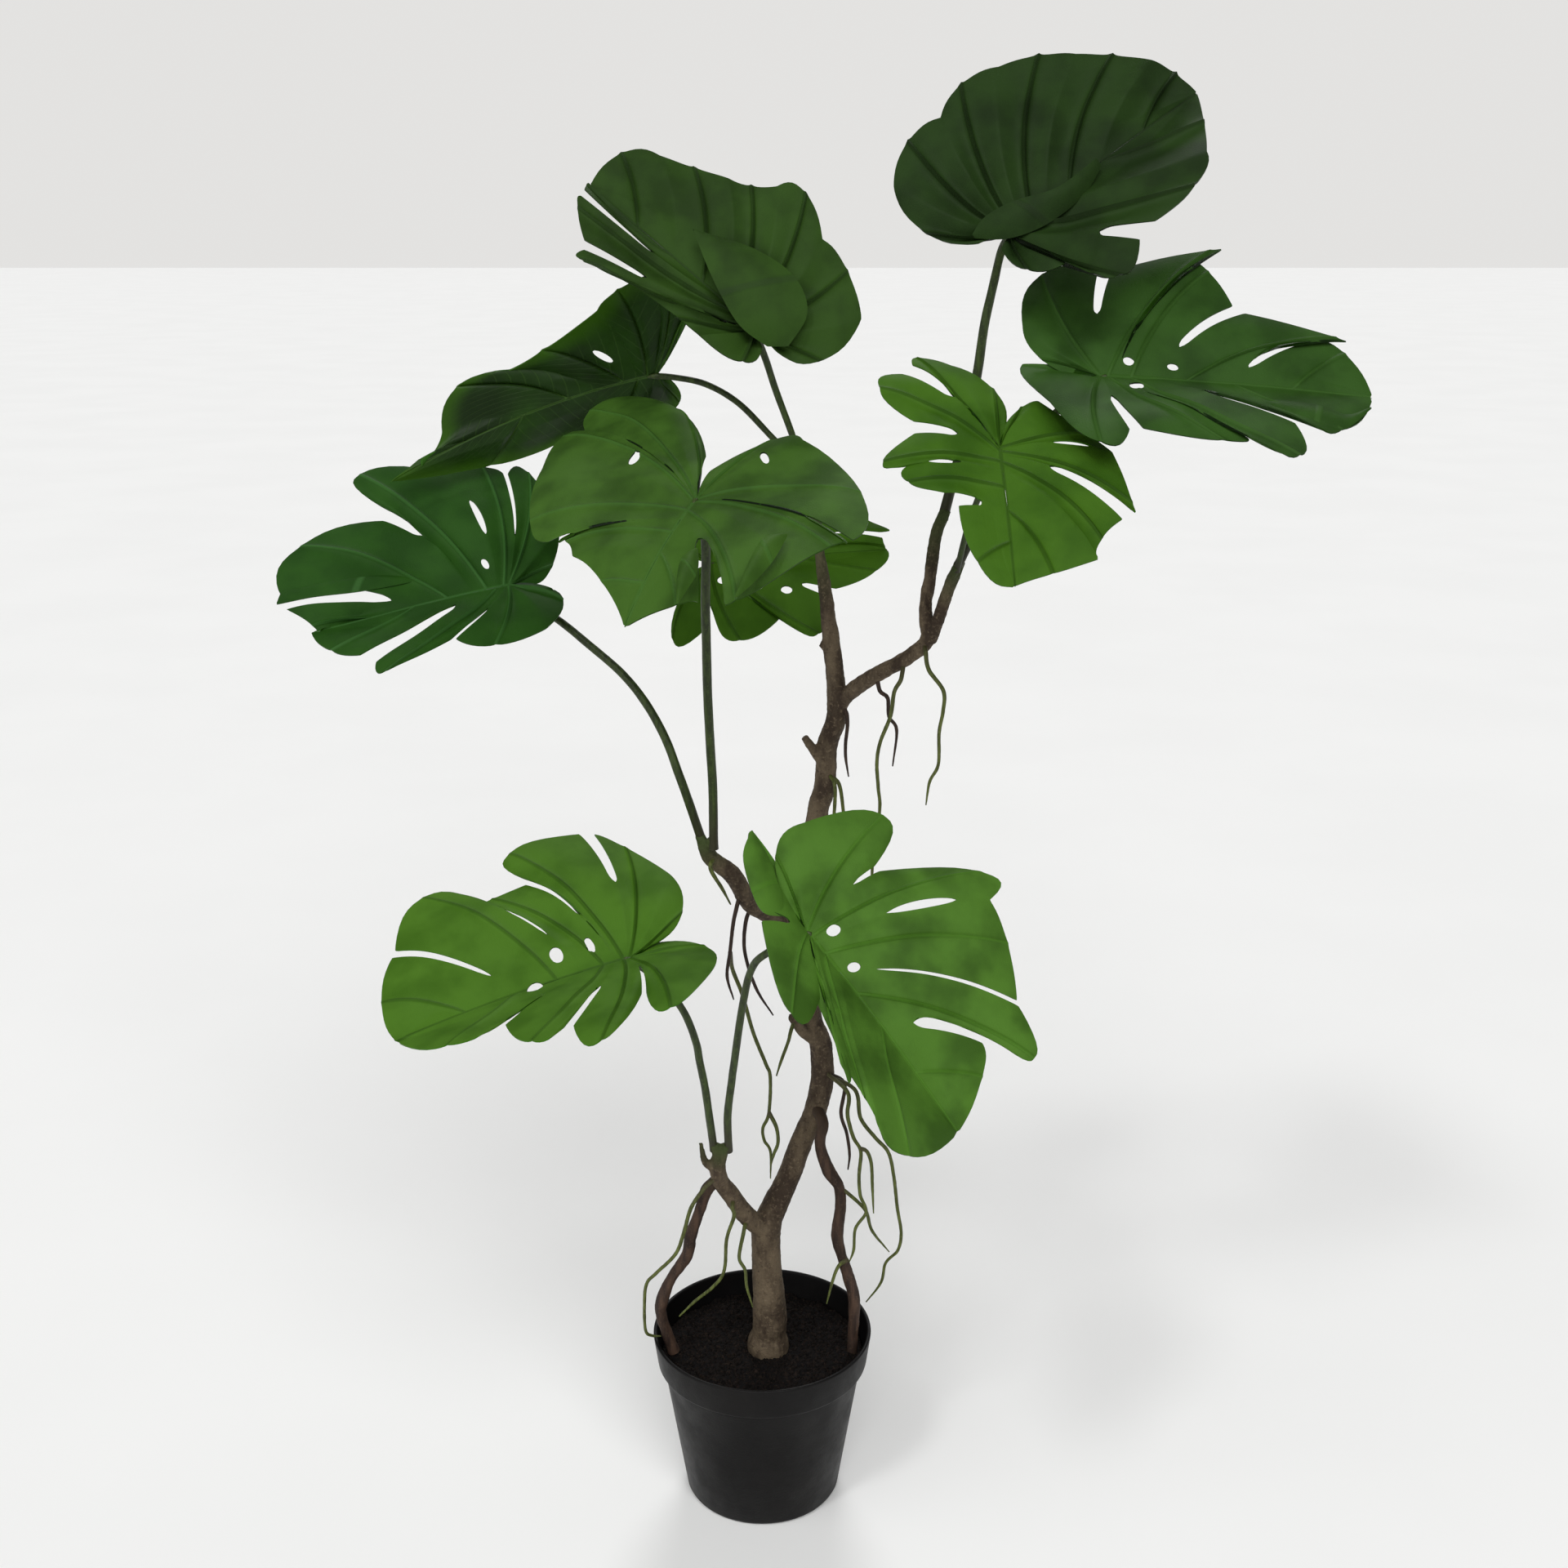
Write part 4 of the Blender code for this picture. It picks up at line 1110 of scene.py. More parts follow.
    def turn_back(self, bm: bmesh.types.BMesh, layer: object, near: tuple[Point, ...],
                  far: tuple[Point, ...]) -> None:
        """Add a lip of the blade that is turned back, so that its underside shows.

        Args:
            bm: the blade's mesh.
            layer: the chart's layer.
            near: the line it turns on, as distances along the rib, beside it and above it.
            far: its free edge, in the same way.
        """
        lines = []
        for line in (near, far):
            path = smooth_line(line, 2.0)
            at = np.linspace(0, len(line) - 1, 25)
            lines.append(np.stack([np.interp(at, path[:, 3], path[:, axis]) for axis in range(3)], axis=1))
        rows = []
        for step in range(9):
            share = step / 8
            line = lines[0] * (1 - share) + lines[1] * share
            line[:, 2] += 3.0 * math.sin(math.pi * share) * np.sin(np.linspace(0, math.pi, 25))
            places = self.at + line[:, :1] * self.heading + line[:, 1:2] * self.side + line[:, 2:] * self.up
            rows.append([bm.verts.new(place * MM) for place in places])
            for vert, part in zip(rows[-1], np.linspace(0, 1, 25)):
                vert[layer] = (abs(part - 0.5) * 40, 30.0, 12.0 * (1 - share))
        for low, high in zip(rows, rows[1:]):
            for index in range(24):
                face = bm.faces.new((low[index], low[index + 1], high[index + 1], high[index]))
                face.normal_update()
                if face.normal.dot(Vector(self.up)) > 0:
                    face.normal_flip()

    @staticmethod
    def soften(mesh: bpy.types.Mesh) -> None:
        """Shade a leaf smoothly but keep its rim crisp.

        Args:
            mesh: the leaf's mesh.
        """
        bm = bmesh.new()
        bm.from_mesh(mesh)
        bmesh.ops.triangulate(bm, faces=[face for face in bm.faces if len(face.verts) > 3])
        for face in bm.faces:
            face.smooth = True
        for edge in bm.edges:
            edge.smooth = not (len(edge.link_faces) == 2 and edge.calc_face_angle(0.0) > math.radians(50))
        bm.to_mesh(mesh)
        bm.free()


@dataclass
class Foliage:
    """All ten leaves with their stalks."""

    maker: StrandMaker
    leaves: dict[str, LeafPlan] = field(default_factory=lambda: LEAVES)

    def build(self) -> None:
        """Build every leaf and the stalk that carries it."""
        stalk = StrandFinish("stalk_wire", "37471b", "222d10", "4f5e2c", "2d281a", 0.46, 3.0).material()
        for number, (letter, plan) in enumerate(self.leaves.items()):
            blade = Blade(letter, plan, LEAF_FINISHES[plan.finish])
            register(blade.build(), blade.finish.slot, "leaf_" + letter)
            points, thick, thin = STALKS[letter]
            end = tuple(blade.at - blade.up * 1.6)
            beyond = tuple(blade.at - blade.up * 1.0 + blade.heading * 5)
            first = np.array(points[0], float)
            back = first - np.array(points[1], float)
            line = (tuple(first + back / np.linalg.norm(back) * 7), *points, end, beyond)
            radii = ([thick + (thin - thick) * index / len(points) for index in range(len(points) + 1)]
                + [0.7])
            radii.insert(0, thick + 0.3)
            register(
                self.maker.make(
                    "petiole_" + letter, line, tuple(radii), stalk, 14, 3.0, 0.35, 9.0, number),
                "stalk", "stalk_" + letter)


FOLDS: dict[str, tuple[tuple[tuple[Point, ...], tuple[Point, ...]], ...]] = {
    "a": (
        (((-16.4, 10.5, 3), (-3.6, -4.7, 4), (17.2, -13.2, 4), (43.6, -13.1, 3), (63.8, -5.0, 2)),
         ((-16.8, 12.2, 5), (-5.1, 13.5, 9), (11.4, 7.6, 12), (33.5, -3.5, 12), (64.3, -0.6, 5))),
    ),
    "b": (
        (((64.2, -14.7, 12), (46.7, -4.7, 12), (27.0, 4.3, 12), (5.9, 9.3, 9), (-13.5, 5.1, 6)),
         ((64.9, -14.7, 12), (30.7, -31.0, 15), (2.0, -34.7, 16), (-17.5, -24.1, 14), (-22.3, -2.6, 8))),
    ),
    "e": (
        (((91.1, 67.3, 3), (74.7, 71.2, 3), (59.4, 73.7, 4), (42.9, 72.3, 4), (32.6, 70.6, 4)),
         ((90.5, 66.9, 3), (72.6, 65.1, 7), (47.2, 63.2, 9), (38.0, 67.1, 7), (31.9, 70.4, 4))),
        (((99.4, 38.1, 2), (87.8, 37.4, 2), (75.8, 37.4, 3), (63.7, 33.0, 3), (51.2, 26.2, 3)),
         ((98.8, 37.6, 2), (82.1, 30.3, 5), (66.2, 24.8, 6), (58.4, 25.8, 6), (50.3, 25.3, 3))),
    ),
    "h": (
        (((85.2, -16.3, 2), (102.2, -17.2, 3), (120.4, -21.1, 4), (134.8, -26.4, 3), (149.2, -18.3, 2)),
         ((85.1, -16.9, 2), (100.8, -30.6, 5), (115.7, -39.5, 6), (131.0, -40.9, 5), (149.1, -19.1, 2))),
    ),
    "j": (
        (((-64.8, 7.3, 12), (-48.0, 6.0, 10), (-32.5, 0.8, 8), (-22.0, -2.8, 5), (-14.9, -6.8, 3)),
         ((-65.3, 7.3, 12), (-56.3, -8.9, 12), (-36.9, -18.8, 10), (-23.2, -19.2, 6), (-14.6, -7.5, 3))),
        (((13.7, -15.9, 4), (24.0, -25.3, 6), (43.8, -33.4, 8), (59.4, -38.3, 8), (72.2, -44.7, 8)),
         ((13.7, -15.5, 4), (34.0, -19.6, 8), (48.6, -22.7, 10), (62.4, -32.8, 10), (72.1, -44.2, 8))),
    ),
    "d": (
        (((133.6, -28.7, 3), (106.3, -32.2, 4), (81.6, -29.2, 4), (63.8, -24.0, 3), (49.9, -18.2, 2)),
         ((138.6, -19.9, 3), (116.4, -17.7, 5), (92.0, -14.7, 5), (70.3, -14.9, 4), (50.5, -17.2, 2))),
    ),
}


HOLES: dict[str, tuple[tuple[float, float, float, float, float], ...]] = {
    "h": ((16.2, 9.5, 3.2, 2.3, -6), (41.1, 7.6, 3.2, 1.9, -6), (20.1, -10.6, 3.9, 4.1, -49),),
    "e": ((-30.5, -54.1, 7.6, 3.0, -168), (-42.0, 23.2, 7.0, 2.3, 34),),
    "i": ((41.5, -16.5, 5.5, 3.9, 99), (20.4, -16.5, 6.0, 2.6, 94), (60.2, 1.6, 5.4, 4.6, -146),),
    "j": ((9.5, 11.8, 4.1, 3.3, 70), (33.4, 7.8, 3.7, 2.8, 60),),
    "d": ((10.2, -16.7, 3.6, 2.0, 101),),
    "c": ((28.1, 20.2, 7.1, 2.0, -134),),
    "f": ((9.0, -16.3, 4.3, 2.9, -31), (31.7, -23.4, 4.3, 3.0, -31), (51.2, -29.5, 4.0, 3.0, -29),),
}


STALKS: dict[str, tuple[tuple[Point, ...], float, float]] = {
    "a": (
        ((112, -5, 689), (122, 0, 729), (129, 0, 767), (132, -5, 796), (136, -10, 819), (139, -19, 838)),
        3.2, 2.2),
    "b": (((24, 15, 717), (20, 15, 730), (10, 12, 757), (4, 3, 776)), 2.0, 2.2),
    "c": (((19, 28, 715), (7, 35, 727), (-13, 45, 746), (-33, 50, 757), (-51, 50, 761)), 2.0, 1.9),
    "d": (
        (
            (-37, -37, 494), (-44, -40, 518), (-49, -40, 533), (-57, -35, 554), (-69, -30, 575),
            (-84, -20, 591), (-104, -10, 606), (-123, 0, 619), (-142, 6, 630)),
        2.8, 2.2),
    "e": (
        (
            (-28, -44, 493), (-28, -46, 524), (-29, -51, 552), (-30, -58, 588), (-30, -67, 626),
            (-30, -73, 645), (-29, -84, 682)),
        2.8, 2.6),
    "f": (((47, 25, 587), (48, 58, 592), (36, 86, 604), (8, 101, 618), (-16, 103, 629)), 2.2, 1.8),
    "g": (((117, -47, 664), (121, -58, 688), (127, -70, 710), (132, -80, 722)), 1.8, 1.8),
    "h": (((120, -41, 667), (134, -40, 696), (152, -37, 726), (172, -40, 750)), 2.6, 2.0),
    "i": (
        (
            (-31, -37, 283), (-33, -45, 307), (-35, -50, 328), (-38, -55, 349), (-40, -60, 365),
            (-47, -66, 388), (-60, -71, 409)),
        2.6, 2.2),
    "j": (
        (
            (-21, -38, 283), (-21, -45, 307), (-18, -55, 335), (-16, -62, 352), (-10, -80, 399),
            (-4, -93, 428), (6, -105, 443)),
        2.6, 2.2)}


# ---------------------------------------------------------------- wood and roots
@dataclass
class Trunk:
    """Bulb, main stem, three branches, forks and cut stubs, grown together under one bark."""

    maker: StrandMaker
    finish: BarkFinish = BarkFinish()
    voxel: float = 1.15
    ripple: float = 1.1
    young: tuple[tuple[Point, float, float], ...] = (
        ((28, 17, 716), 30, 95), ((-24, -38, 288), 10, 26), ((-33, -40, 498), 10, 30),
        ((112, -5, 694), 12, 45), ((119, -42, 668), 8, 34), ((50, 24, 588), 4, 10),
        ((116, -48, 664), 6, 16))

    def build(self) -> None:
        """Build the trunk and dress it."""
        bark = self.finish.material()
        bm = bmesh.new()
        for number, (name, (points, radii)) in enumerate(BRANCHES.items()):
            part = self.maker.make(name, points, radii, bark, 20, 2.0, self.ripple, 9.0, number)
            bm.from_mesh(part.data)
            bpy.data.objects.remove(part, do_unlink=True)
        for centre, size in KNOBS:
            ball = bmesh.ops.create_icosphere(bm, subdivisions=4, radius=1.0)["verts"]
            for vert in ball:
                vert.co = Vector([c + s * v for c, s, v in zip(centre, size, vert.co)]) * MM
        mesh = bpy.data.meshes.new("trunk")
        bm.to_mesh(mesh)
        bm.free()
        draft = piece_from("draft", mesh)
        grown = draft.modifiers.new("grown", "REMESH")
        grown.mode, grown.voxel_size, grown.use_smooth_shade = "VOXEL", self.voxel * MM, True
        worn = draft.modifiers.new("worn", "SMOOTH")
        worn.factor, worn.iterations = 0.5, 5
        made = settle("woody_stem", draft)
        self.carve(made.data)
        made.data.materials.clear()
        made.data.materials.append(bark)
        register(made, "bark", "trunk")

    def carve(self, mesh: bpy.types.Mesh) -> None:
        """Raise the bark's lumps and wrinkles, and mark the young growth.

        Args:
            mesh: the trunk's mesh.
        """
        fresh = mesh.attributes.new("young", "FLOAT", "POINT")
        values, moved = [], []
        for vert in mesh.vertices:
            place = vert.co * PER_MM
            lumps = noise.fractal(place / 11, 1.0, 2.0, 3)
            wrinkle = noise.noise(Vector((place.x / 3.2, place.y / 3.2, place.z / 1.7)))
            moved.append(vert.co + vert.normal * (0.42 * lumps + 0.22 * wrinkle) * MM)
            best = 0.0
            for centre, near, far in self.young:
                gap = (place - Vector(centre)).length
                best = max(best, min(1.0, max(0.0, (far - gap) / (far - near))))
            values.append(best * 0.9)
        for vert, place in zip(mesh.vertices, moved):
            vert.co = place
        fresh.data.foreach_set("value", values)


@dataclass
class Roots:
    """Two woody props and the thin hanging strands."""

    maker: StrandMaker

    def build(self) -> None:
        """Build every root."""
        prop = StrandFinish("prop_root_bark", "49362a", "291d17", "5e4c3c", "3c2f22", 0.74, 5.0).material()
        olive = StrandFinish("aerial_root_wire", "59622c", "3c4219", "74794a", "433b29", 0.55, 1.6).material()
        dark = StrandFinish("aerial_root_brown", "3a2b22", "231914", "514031", "2f251c", 0.7, 1.6).material()
        for number, (name, points) in enumerate(PROP_ROOTS.items()):
            radii = [3.9 + 0.5 * math.sin(2.3 * index + number) for index in range(len(points))]
            register(
                self.maker.make(
                    name + "_woody", points, tuple(radii), prop, 18, 1.8, 1.3, 6.0, 40 + number),
                "bark", name)
        for number, (name, points) in enumerate(ROOTS.items()):
            finish = dark if name in BROWN_ROOTS else olive
            radii = [1.45 - 0.5 * index / (len(points) - 1) for index in range(len(points))]
            radii[-1] = 0.45
            register(
                self.maker.make(
                    name + "_strand", points, tuple(radii), finish, 10, 1.6, 0.45, 4.0, 60 + number),
                "aerial_root", name)


BRANCHES: dict[str, tuple[tuple[Point, ...], tuple[float, ...]]] = {
    "main_stem": (
        (
            (3, 0, 108), (5, 0, 124), (5, 0, 140), (4, 0, 158), (3, 0, 174), (3, 0, 199), (8, 2, 213),
            (18, 5, 235), (27, 8, 260), (35, 10, 279), (39, 12, 294), (41, 14, 309), (39, 16, 329),
            (33, 18, 344), (32, 20, 364), (29, 20, 384), (29, 20, 419), (32, 20, 453), (37, 20, 491),
            (41, 20, 505), (42, 20, 522), (43, 20, 536), (48, 18, 551), (48, 16, 568), (47, 15, 582),
            (45, 15, 599), (43, 15, 615), (41, 15, 631), (39, 15, 645), (37, 15, 658), (34, 15, 683),
            (28, 17, 702)),
        (
            11.5, 12, 11.5, 10.5, 10, 10, 9, 8, 7.6, 7.6, 7.8, 8, 7.6, 7.6, 7.4, 7.4, 7.2, 7, 6.9, 7.2,
            6.8, 6.6, 6.6, 6.2, 6, 5.6, 5, 4.4, 3.8, 3.4, 3.3, 3.4)),
    "low_left": (
        ((3, 0, 196), (-10, -12, 215), (-19, -22, 235), (-27, -30, 252), (-28, -35, 266), (-26, -35, 276)),
        (7, 6.5, 6, 5.6, 5.2, 5)),
    "fork_i": (((-27, -35, 268), (-30, -37, 282)), (4, 3)),
    "fork_j": (((-27, -35, 268), (-22, -38, 282)), (4, 3)),
    "mid_left": (
        ((29, 20, 385), (11, 0, 422), (-6, -20, 442), (-17, -30, 464), (-30, -35, 477), (-34, -38, 487)),
        (6.5, 6.5, 6.4, 5.8, 5.2, 4.8)),
    "fork_d": (((-33, -37, 481), (-37, -37, 493)), (4, 3)),
    "fork_e": (((-33, -37, 481), (-29, -43, 492)), (4, 3)),
    "up_right": (
        ((48, 17, 558), (56, 9, 571), (70, -5, 585), (85, -15, 596), (98, -22, 607), (103, -25, 617)),
        (5, 5, 5, 4.8, 4.6, 4.6)),
    "fork_a": (
        ((102, -25, 612), (100, -22, 631), (103, -15, 650), (106, -10, 672), (112, -5, 688)),
        (4.2, 4.2, 4, 3.8, 3.6)),
    "fork_h": (((103, -25, 612), (107, -31, 626), (112, -35, 644), (119, -40, 664)), (4.2, 4, 3.8, 3.4)),
    "fork_g": (((112, -36, 648), (116, -46, 661)), (3, 2.2)),
    "stub_high": (((43, 20, 520), (36, 18, 528), (28, 15, 541)), (4, 3.2, 2.4)),
    "stub_low": (((38, 16, 330), (28, 8, 340), (20, 0, 355)), (4.5, 4, 2.8)),
    "stub_left": (((-27, -34, 262), (-36, -36, 268), (-39, -36, 282)), (3.4, 2.6, 1.4)),
    "stub_side": (((44, 15, 598), (38, 12, 602)), (4, 2.2)),
    "fork_b": (((29, 17, 699), (24, 15, 716)), (2.6, 2.1)),
    "fork_c": (((29, 17, 699), (19, 27, 714)), (2.6, 2.1)),
    "fork_f": (((47, 15, 583), (47, 24, 586)), (3.4, 2.4))}
KNOBS: tuple[tuple[Point, Point], ...] = (((4, 0, 108), (14.5, 14, 16)),)
PROP_ROOTS: dict[str, tuple[Point, ...]] = {
    "prop_root_left": (
        (-27, -30, 254), (-36, -24, 241), (-41, -26, 226), (-47, -23, 207), (-50, -20, 190),
        (-61, -18, 171), (-67, -16, 155), (-69, -13, 142), (-66, -10, 126), (-61, -8, 108)),
    "prop_root_right": (
        (36, 8, 286), (41, -2, 278), (39, -2, 263), (45, -3, 244), (52, -3, 232), (53, -4, 216),
        (51, -4, 196), (54, -5, 181), (59, -5, 164), (63, -6, 146), (62, -6, 106))}
ROOTS: dict[str, tuple[Point, ...]] = {
    "root_left_outer": (
        (-28, -33, 256), (-37, -38, 250), (-46, -35, 234), (-51, -33, 215), (-57, -30, 197),
        (-70, -27, 181), (-77, -26, 172), (-79, -24, 156), (-79, -21, 133), (-75, -17, 126),
        (-69, -16, 125)),
    "root_left_inner": (
        (-18, -21, 236), (-19, -32, 233), (-18, -30, 225), (-23, -28, 207), (-25, -26, 182),
        (-32, -24, 169), (-45, -22, 156), (-56, -20, 143)),
    "root_bulb": (
        (-10, -12, 215), (-12, -22, 208), (-15, -23, 190), (-11, -24, 181), (-10, -25, 169),
        (-6, -26, 154)),
    "root_long_left": (
        (-19, -29, 412), (-18, -12, 393), (-12, -12, 376), (-5, -12, 349), (3, -12, 327), (6, -12, 317),
        (5, -12, 291), (1, -12, 280), (2, -12, 271), (6, -12, 263), (6, -12, 243)),
    "root_loop": ((5, -12, 292), (10, -15, 282), (11, -15, 271), (8, -15, 262), (6, -12, 252)),
    "root_stub_mid": ((22, 2, 352), (19, -5, 345), (18, -5, 340), (13, -7, 326), (10, -10, 317)),
    "root_mid_brown": ((-4, -16, 440), (-9, -20, 430), (-10, -18, 408), (-3, -16, 382), (8, -14, 362)),
    "root_mid_thick": (
        (-12, -25, 452), (-15, -30, 441), (-17, -30, 431), (-19, -30, 413), (-21, -30, 396),
        (-17, -30, 380)),
    "root_mid_short": ((-28, -36, 478), (-30, -46, 474), (-23, -44, 460), (-18, -42, 449)),
    "root_right_long": (
        (88, -16, 598), (86, -24, 588), (82, -24, 580), (80, -24, 565), (74, -25, 549), (72, -26, 536),
        (73, -27, 520), (74, -28, 505), (70, -29, 470), (71, -30, 443)),
    "root_right_short": (
        (100, -23, 610), (100, -31, 606), (102, -34, 596), (111, -34, 583), (111, -34, 570),
        (109, -34, 557), (109, -34, 537), (104, -34, 526), (102, -34, 511)),
    "root_right_hook": (
        (72, -6, 587), (74, -9, 577), (79, -8, 572), (80, -7, 560), (85, -6, 551), (83, -4, 527)),
    "root_main_a": (
        (48, 17, 562), (54, 12, 558), (55, 12, 549), (54, 11, 539), (54, 10, 529), (56, 10, 516)),
    "root_main_b": ((42, 20, 516), (47, 8, 512), (47, 6, 494), (45, 5, 476)),
    "root_main_c": ((43, 20, 514), (50, 14, 510), (53, 12, 492), (55, 11, 474)),
    "root_dark": ((42, 12, 309), (55, 4, 305), (53, 2, 284), (57, 2, 269), (59, 1, 254), (58, 0, 243)),
    "root_front_fork": (
        (44, 8, 310), (57, -8, 304), (57, -9, 288), (61, -9, 272), (66, -10, 262), (65, -11, 245),
        (66, -11, 230), (70, -12, 218), (63, -13, 206), (62, -13, 190), (59, -14, 181)),
    "root_front_side": ((66, -10, 264), (70, -12, 263), (73, -12, 254), (74, -12, 237), (75, -12, 217)),
    "root_far_right": (
        (44, 10, 308), (62, -2, 303), (66, -1, 282), (76, 0, 267), (85, 2, 255), (89, 3, 237),
        (92, 4, 212), (95, 5, 192), (93, 6, 178), (85, 8, 167), (82, 9, 151), (72, 10, 135)),
    "root_cross": ((53, -3, 231), (59, -5, 227), (70, -3, 214), (75, 1, 196), (87, 4, 178)),
    "root_tail": ((58, -14, 183), (52, -12, 177), (48, -13, 166), (44, -14, 149))}
BROWN_ROOTS: tuple[str, ...] = (
    "root_mid_brown", "root_mid_thick", "root_right_hook", "root_dark", "root_main_a")


# ---------------------------------------------------------------- pot and compost
def lathe(profile: tuple[tuple[float, float], ...], steps: int) -> bmesh.types.BMesh:
    """Turn a profile about the pot's axis.

    Args:
        profile: radius and height in millimetres, from axis to axis.
        steps: corners round the axis.

    Returns:
        The closed shape.
    """
    bm = bmesh.new()
    row = [bm.verts.new((radius * MM, 0.0, height * MM)) for radius, height in profile]
    for low, high in zip(row, row[1:]):
        bm.edges.new((low, high))
    bmesh.ops.spin(bm, geom=bm.verts[:] + bm.edges[:], cent=(0, 0, 0), axis=(0, 0, 1), angle=2 * math.pi,
                   steps=steps, use_merge=True)
    bmesh.ops.remove_doubles(bm, verts=bm.verts, dist=0.00003)
    face_outwards(bm)
    return bm


@dataclass
class Pot:
    """Round nursery pot with a rolled rim, a collar band and a step below it."""

    finish: PotFinish = PotFinish()
    steps: int = 144
    bevel: float = 0.7
    profile: tuple[tuple[float, float], ...] = (
        (0, 1.2), (44, 1.2), (46, 0), (49.5, 0), (52.0, 1.2), (53.2, 3.4), (60.6, 50), (68.2, 97.4),
        (69.0, 98.2), (71.3, 98.9), (72.2, 100.2), (75.0, 120.4), (75.0, 121.4), (74.4, 122.0),
        (73.0, 122.0), (72.3, 121.3), (69.4, 100.6), (66.2, 97), (58.6, 50), (50.4, 4.4), (48, 3.2),
        (0, 3.2))

    def build(self) -> None:
        """Build the pot and dress it."""
        bm = lathe(self.profile, self.steps)
        for face in bm.faces:
            face.smooth = True
        mesh = bpy.data.meshes.new("pot")
        bm.to_mesh(mesh)
        bm.free()
        mesh.materials.append(self.finish.material())
        draft = piece_from("draft", mesh)
        soft = draft.modifiers.new("moulded", "BEVEL")
        soft.width, soft.segments, soft.limit_method, soft.angle_limit = (
            self.bevel * MM, 2, "ANGLE", math.radians(25))
        register(settle("nursery_pot", draft), "pot", "pot")


@dataclass
class Compost:
    """The fill of the pot: an uneven bed with loose crumbs on it."""

    rim: float = 68.8
    level: float = 105.0
    rings: int = 44
    spokes: int = 150
    crumbs: float = 0.16
    crumb_size: float = 1.5
    seed: int = 7

    def height(self, x: float, y: float) -> float:
        """Give the level of the bed at a place, in millimetres."""
        place = Vector((x, y, 3.0))
        return self.level + 2.4 * noise.noise(place / 17) + 2.0 * noise.fractal(place / 4.5, 1.0, 2.0, 3)

    def bed(self) -> bpy.types.Object:
        """Build the closed bed.

        Returns:
            The bed's piece.
        """
        outer = [(self.rim * (ring / self.rings) ** 0.8, None) for ring in range(self.rings + 1)]
        profile = tuple((radius, self.level) for radius, _ in outer) + ((65.6, 97.0), (50.2, 5.4), (0, 5.2))
        bm = lathe(profile, self.spokes)
        for vert in bm.verts:
            if vert.co.z > (self.level - 0.5) * MM:
                x, y = vert.co.x * PER_MM, vert.co.y * PER_MM
                vert.co.z = self.height(x, y) * MM
        mesh = bpy.data.meshes.new("bed")
        bm.to_mesh(mesh)
        bm.free()
        return piece_from("compost_bed", mesh)

    def crumb_tree(self) -> tuple[bpy.types.NodeTree, dict[str, str]]:
        """Build the tree that strews crumbs over a bed.

        Returns:
            The tree and its input identifiers.
        """
        tree = bpy.data.node_groups.new("crumbs", "GeometryNodeTree")
        face = tree.interface
        face.new_socket("Bed", in_out="INPUT", socket_type="NodeSocketGeometry")
        keys = {name: face.new_socket(name, in_out="INPUT", socket_type=kind).identifier for name, kind in (
            ("Crumbs per mm2", "NodeSocketFloat"), ("Crumb Size", "NodeSocketFloat"),
            ("Seed", "NodeSocketInt"), ("Lowest", "NodeSocketFloat"), ("Finish", "NodeSocketMaterial"))}
        face.new_socket("Crumbs", in_out="OUTPUT", socket_type="NodeSocketGeometry")
        given = add_node(tree, "NodeGroupInput").outputs
        position = add_node(tree, "GeometryNodeInputPosition").outputs[0]
        height = add_node(tree, "ShaderNodeSeparateXYZ", None, {0: position}).outputs[2]
        on_top = add_node(tree, "FunctionNodeCompare", {"data_type": "FLOAT", "operation": "GREATER_THAN"},
                          {0: height, 1: given["Lowest"]}).outputs[0]
        density = add_node(
            tree, "ShaderNodeMath", {"operation": "MULTIPLY"},
            {0: given["Crumbs per mm2"], 1: 1000000.0}).outputs[0]
        points = add_node(tree, "GeometryNodeDistributePointsOnFaces", None, {
            "Mesh": given["Bed"], "Selection": on_top, "Density": density, "Seed": given["Seed"]}).outputs[0]
        crumb = add_node(
            tree, "GeometryNodeMeshIcoSphere", None,
            {"Radius": given["Crumb Size"], "Subdivisions": 1}).outputs[0]
        turn = add_node(tree, "FunctionNodeRandomValue", {"data_type": "FLOAT_VECTOR"}, {
            0: (0, 0, 0), 1: (6.28, 6.28, 6.28), "Seed": given["Seed"]}).outputs[0]
        size = add_node(tree, "FunctionNodeRandomValue", {"data_type": "FLOAT_VECTOR"}, {
            0: (0.25, 0.3, 0.3), 1: (1.5, 1.0, 1.0), "Seed": given["Seed"]}).outputs[0]
        made = add_node(tree, "GeometryNodeInstanceOnPoints", None, {
            "Points": points, "Instance": crumb, "Rotation": turn, "Scale": size}).outputs[0]
        made = add_node(tree, "GeometryNodeRealizeInstances", None, {0: made}).outputs[0]
        made = add_node(
            tree, "GeometryNodeSetMaterial", None,
            {"Geometry": made, "Material": given["Finish"]}).outputs[0]
        add_node(tree, "NodeGroupOutput", None, {0: made})
        return tree, keys

    def build(self) -> None:
        """Build the bed and its crumbs and dress them."""
        bed = self.bed()
        bed.data.materials.append(CompostFinish("compost_bed_peat").material())
        tree, keys = self.crumb_tree()
        draft = piece_from("draft", bed.data.copy())
        strew = draft.modifiers.new("strew", "NODES")
        strew.node_group = tree
        loose = CompostFinish("compost_crumb_peat", "0f0b09", "2a201a").material()
        for name, value in (("Crumbs per mm2", self.crumbs), ("Crumb Size", self.crumb_size * MM),
                            ("Seed", self.seed), ("Lowest", (self.level - 4.5) * MM), ("Finish", loose)):
            strew[keys[name]] = value
        register(bed, "soil", "soil")
        register(settle("compost_crumbs", draft), "soil", "soil")


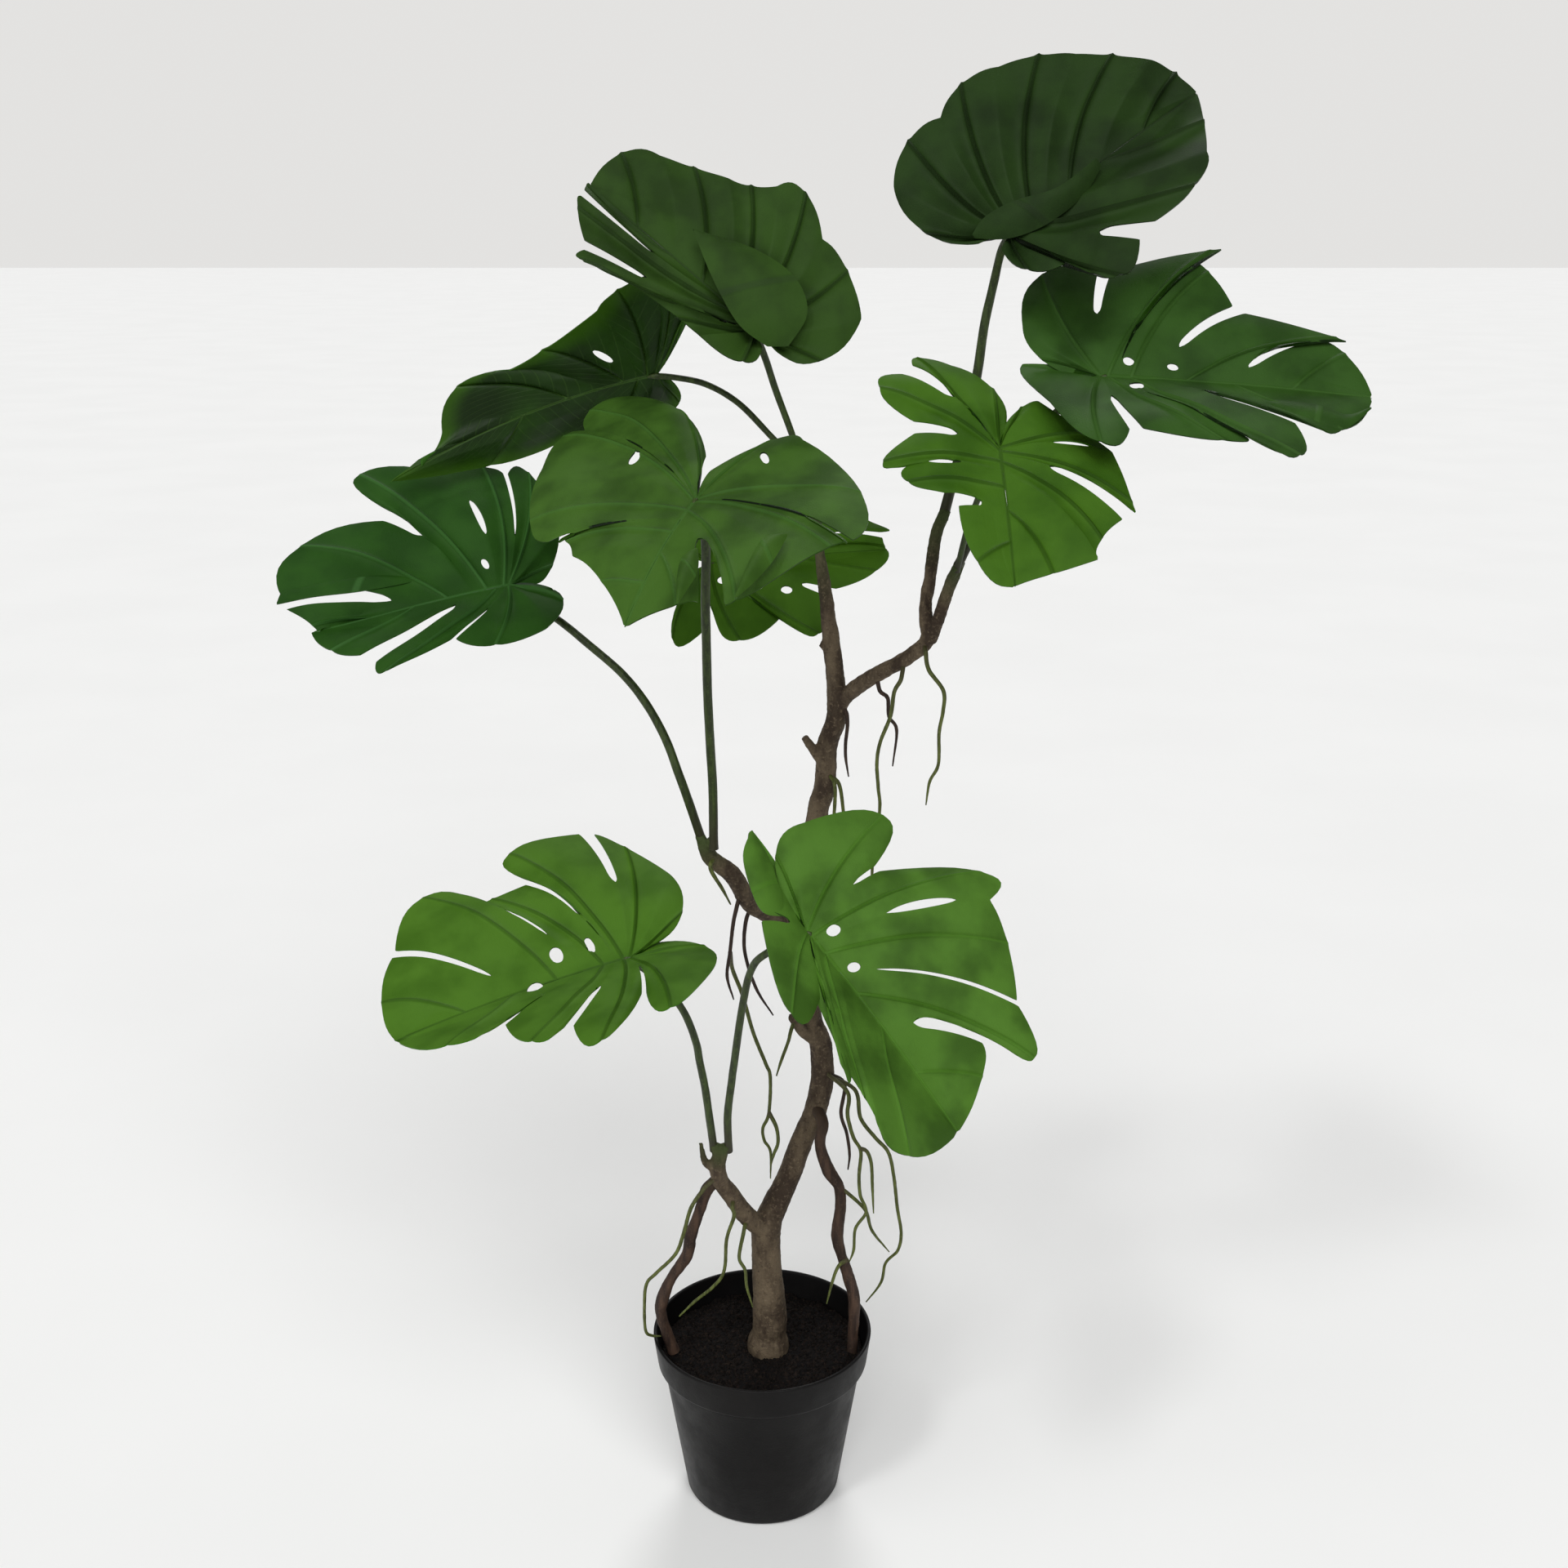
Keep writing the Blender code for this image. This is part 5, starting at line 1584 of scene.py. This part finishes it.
# ---------------------------------------------------------------- studio
@dataclass
class Studio:
    """Pale floor, soft light and the camera."""

    floor_size: float = 60.0
    lens: float = 43.0
    eye: Point = (0.015, -1.1286, 0.859)
    tilt: float = 73.01

    def floor(self) -> None:
        """Lay the floor."""
        bm = bmesh.new()
        bmesh.ops.create_grid(bm, x_segments=1, y_segments=1, size=self.floor_size / 2)
        mesh = bpy.data.meshes.new("floor")
        bm.to_mesh(mesh)
        bm.free()
        made, tree, shader = new_material("floor_paper")
        tone = add_node(
            tree, "ShaderNodeMapRange", EASED, {0: speckle(tree, 400.0, 3.0), 1: 0.3, 2: 0.7}).outputs[0]
        tree.links.new(
            add_node(tree, "ShaderNodeMix", IN_COLOUR, {0: tone, 6: "f4f4f3", 7: "f6f6f5"}).outputs[2],
            shader.inputs["Base Color"])
        shader.inputs["Roughness"].default_value = 0.95
        shader.inputs["Specular IOR Level"].default_value = 0.05
        mesh.materials.append(made)
        piece_from("floor", mesh)

    def light(self, name: str, kind: str, power: float, turn: Point, place: Point = (0, 0, 2),
              size: float = 1.0) -> None:
        """Hang one light.

        Args:
            name: the light's name.
            kind: SUN or AREA.
            power: its strength.
            turn: its rotation in degrees.
            place: its place.
            size: angle of a sun in degrees or width of an area light.
        """
        data = bpy.data.lights.new(name, kind)
        data.energy = power
        if kind == "SUN":
            data.angle = math.radians(size)
        else:
            data.size = size
        lamp = bpy.data.objects.new(name, data)
        lamp.location, lamp.rotation_euler = place, [math.radians(value) for value in turn]
        bpy.context.scene.collection.objects.link(lamp)

    def build(self) -> None:
        """Set the camera, the lights, the backdrop and the floor."""
        scene = bpy.context.scene
        data = bpy.data.cameras.new("camera")
        data.lens, data.sensor_width, data.clip_end = self.lens, 36.0, 200.0
        camera = bpy.data.objects.new("camera", data)
        camera.location, camera.rotation_euler = self.eye, (math.radians(self.tilt), 0, 0)
        scene.collection.objects.link(camera)
        scene.camera = camera
        world = bpy.data.worlds.new("studio")
        scene.world = world
        world.use_nodes = True
        tree = world.node_tree
        tree.nodes.clear()
        seen = add_node(tree, "ShaderNodeLightPath").outputs["Is Camera Ray"]
        soft = add_node(tree, "ShaderNodeBackground", None, {0: linear("ffffff"), 1: 0.16}).outputs[0]
        white = add_node(tree, "ShaderNodeBackground", None, {0: linear("fffefc"), 1: 0.77}).outputs[0]
        both = add_node(tree, "ShaderNodeMixShader", None, {0: seen, 1: soft, 2: white}).outputs[0]
        add_node(tree, "ShaderNodeOutputWorld", None, {0: both})
        self.light("key", "SUN", 1.7, (48, -14, 24), size=40.0)
        self.light("fill", "SUN", 0.95, (64, 0, -50), size=70.0)
        self.light("back", "SUN", 0.85, (-40, 12, 10), size=20.0)
        self.light("glint", "SUN", 0.5, (30, -24, 0), size=9.0)
        scene.view_settings.view_transform = "Standard"
        self.floor()


def main() -> None:
    """Build the plant, piece by piece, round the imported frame."""
    logging.basicConfig(level=logging.INFO, format="%(name)s %(message)s")
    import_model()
    maker = StrandMaker()
    Studio().build()
    Pot().build()
    Compost().build()
    Trunk(maker).build()
    Roots(maker).build()
    Foliage(maker).build()
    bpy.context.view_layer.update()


if __name__ == "__main__":
    main()
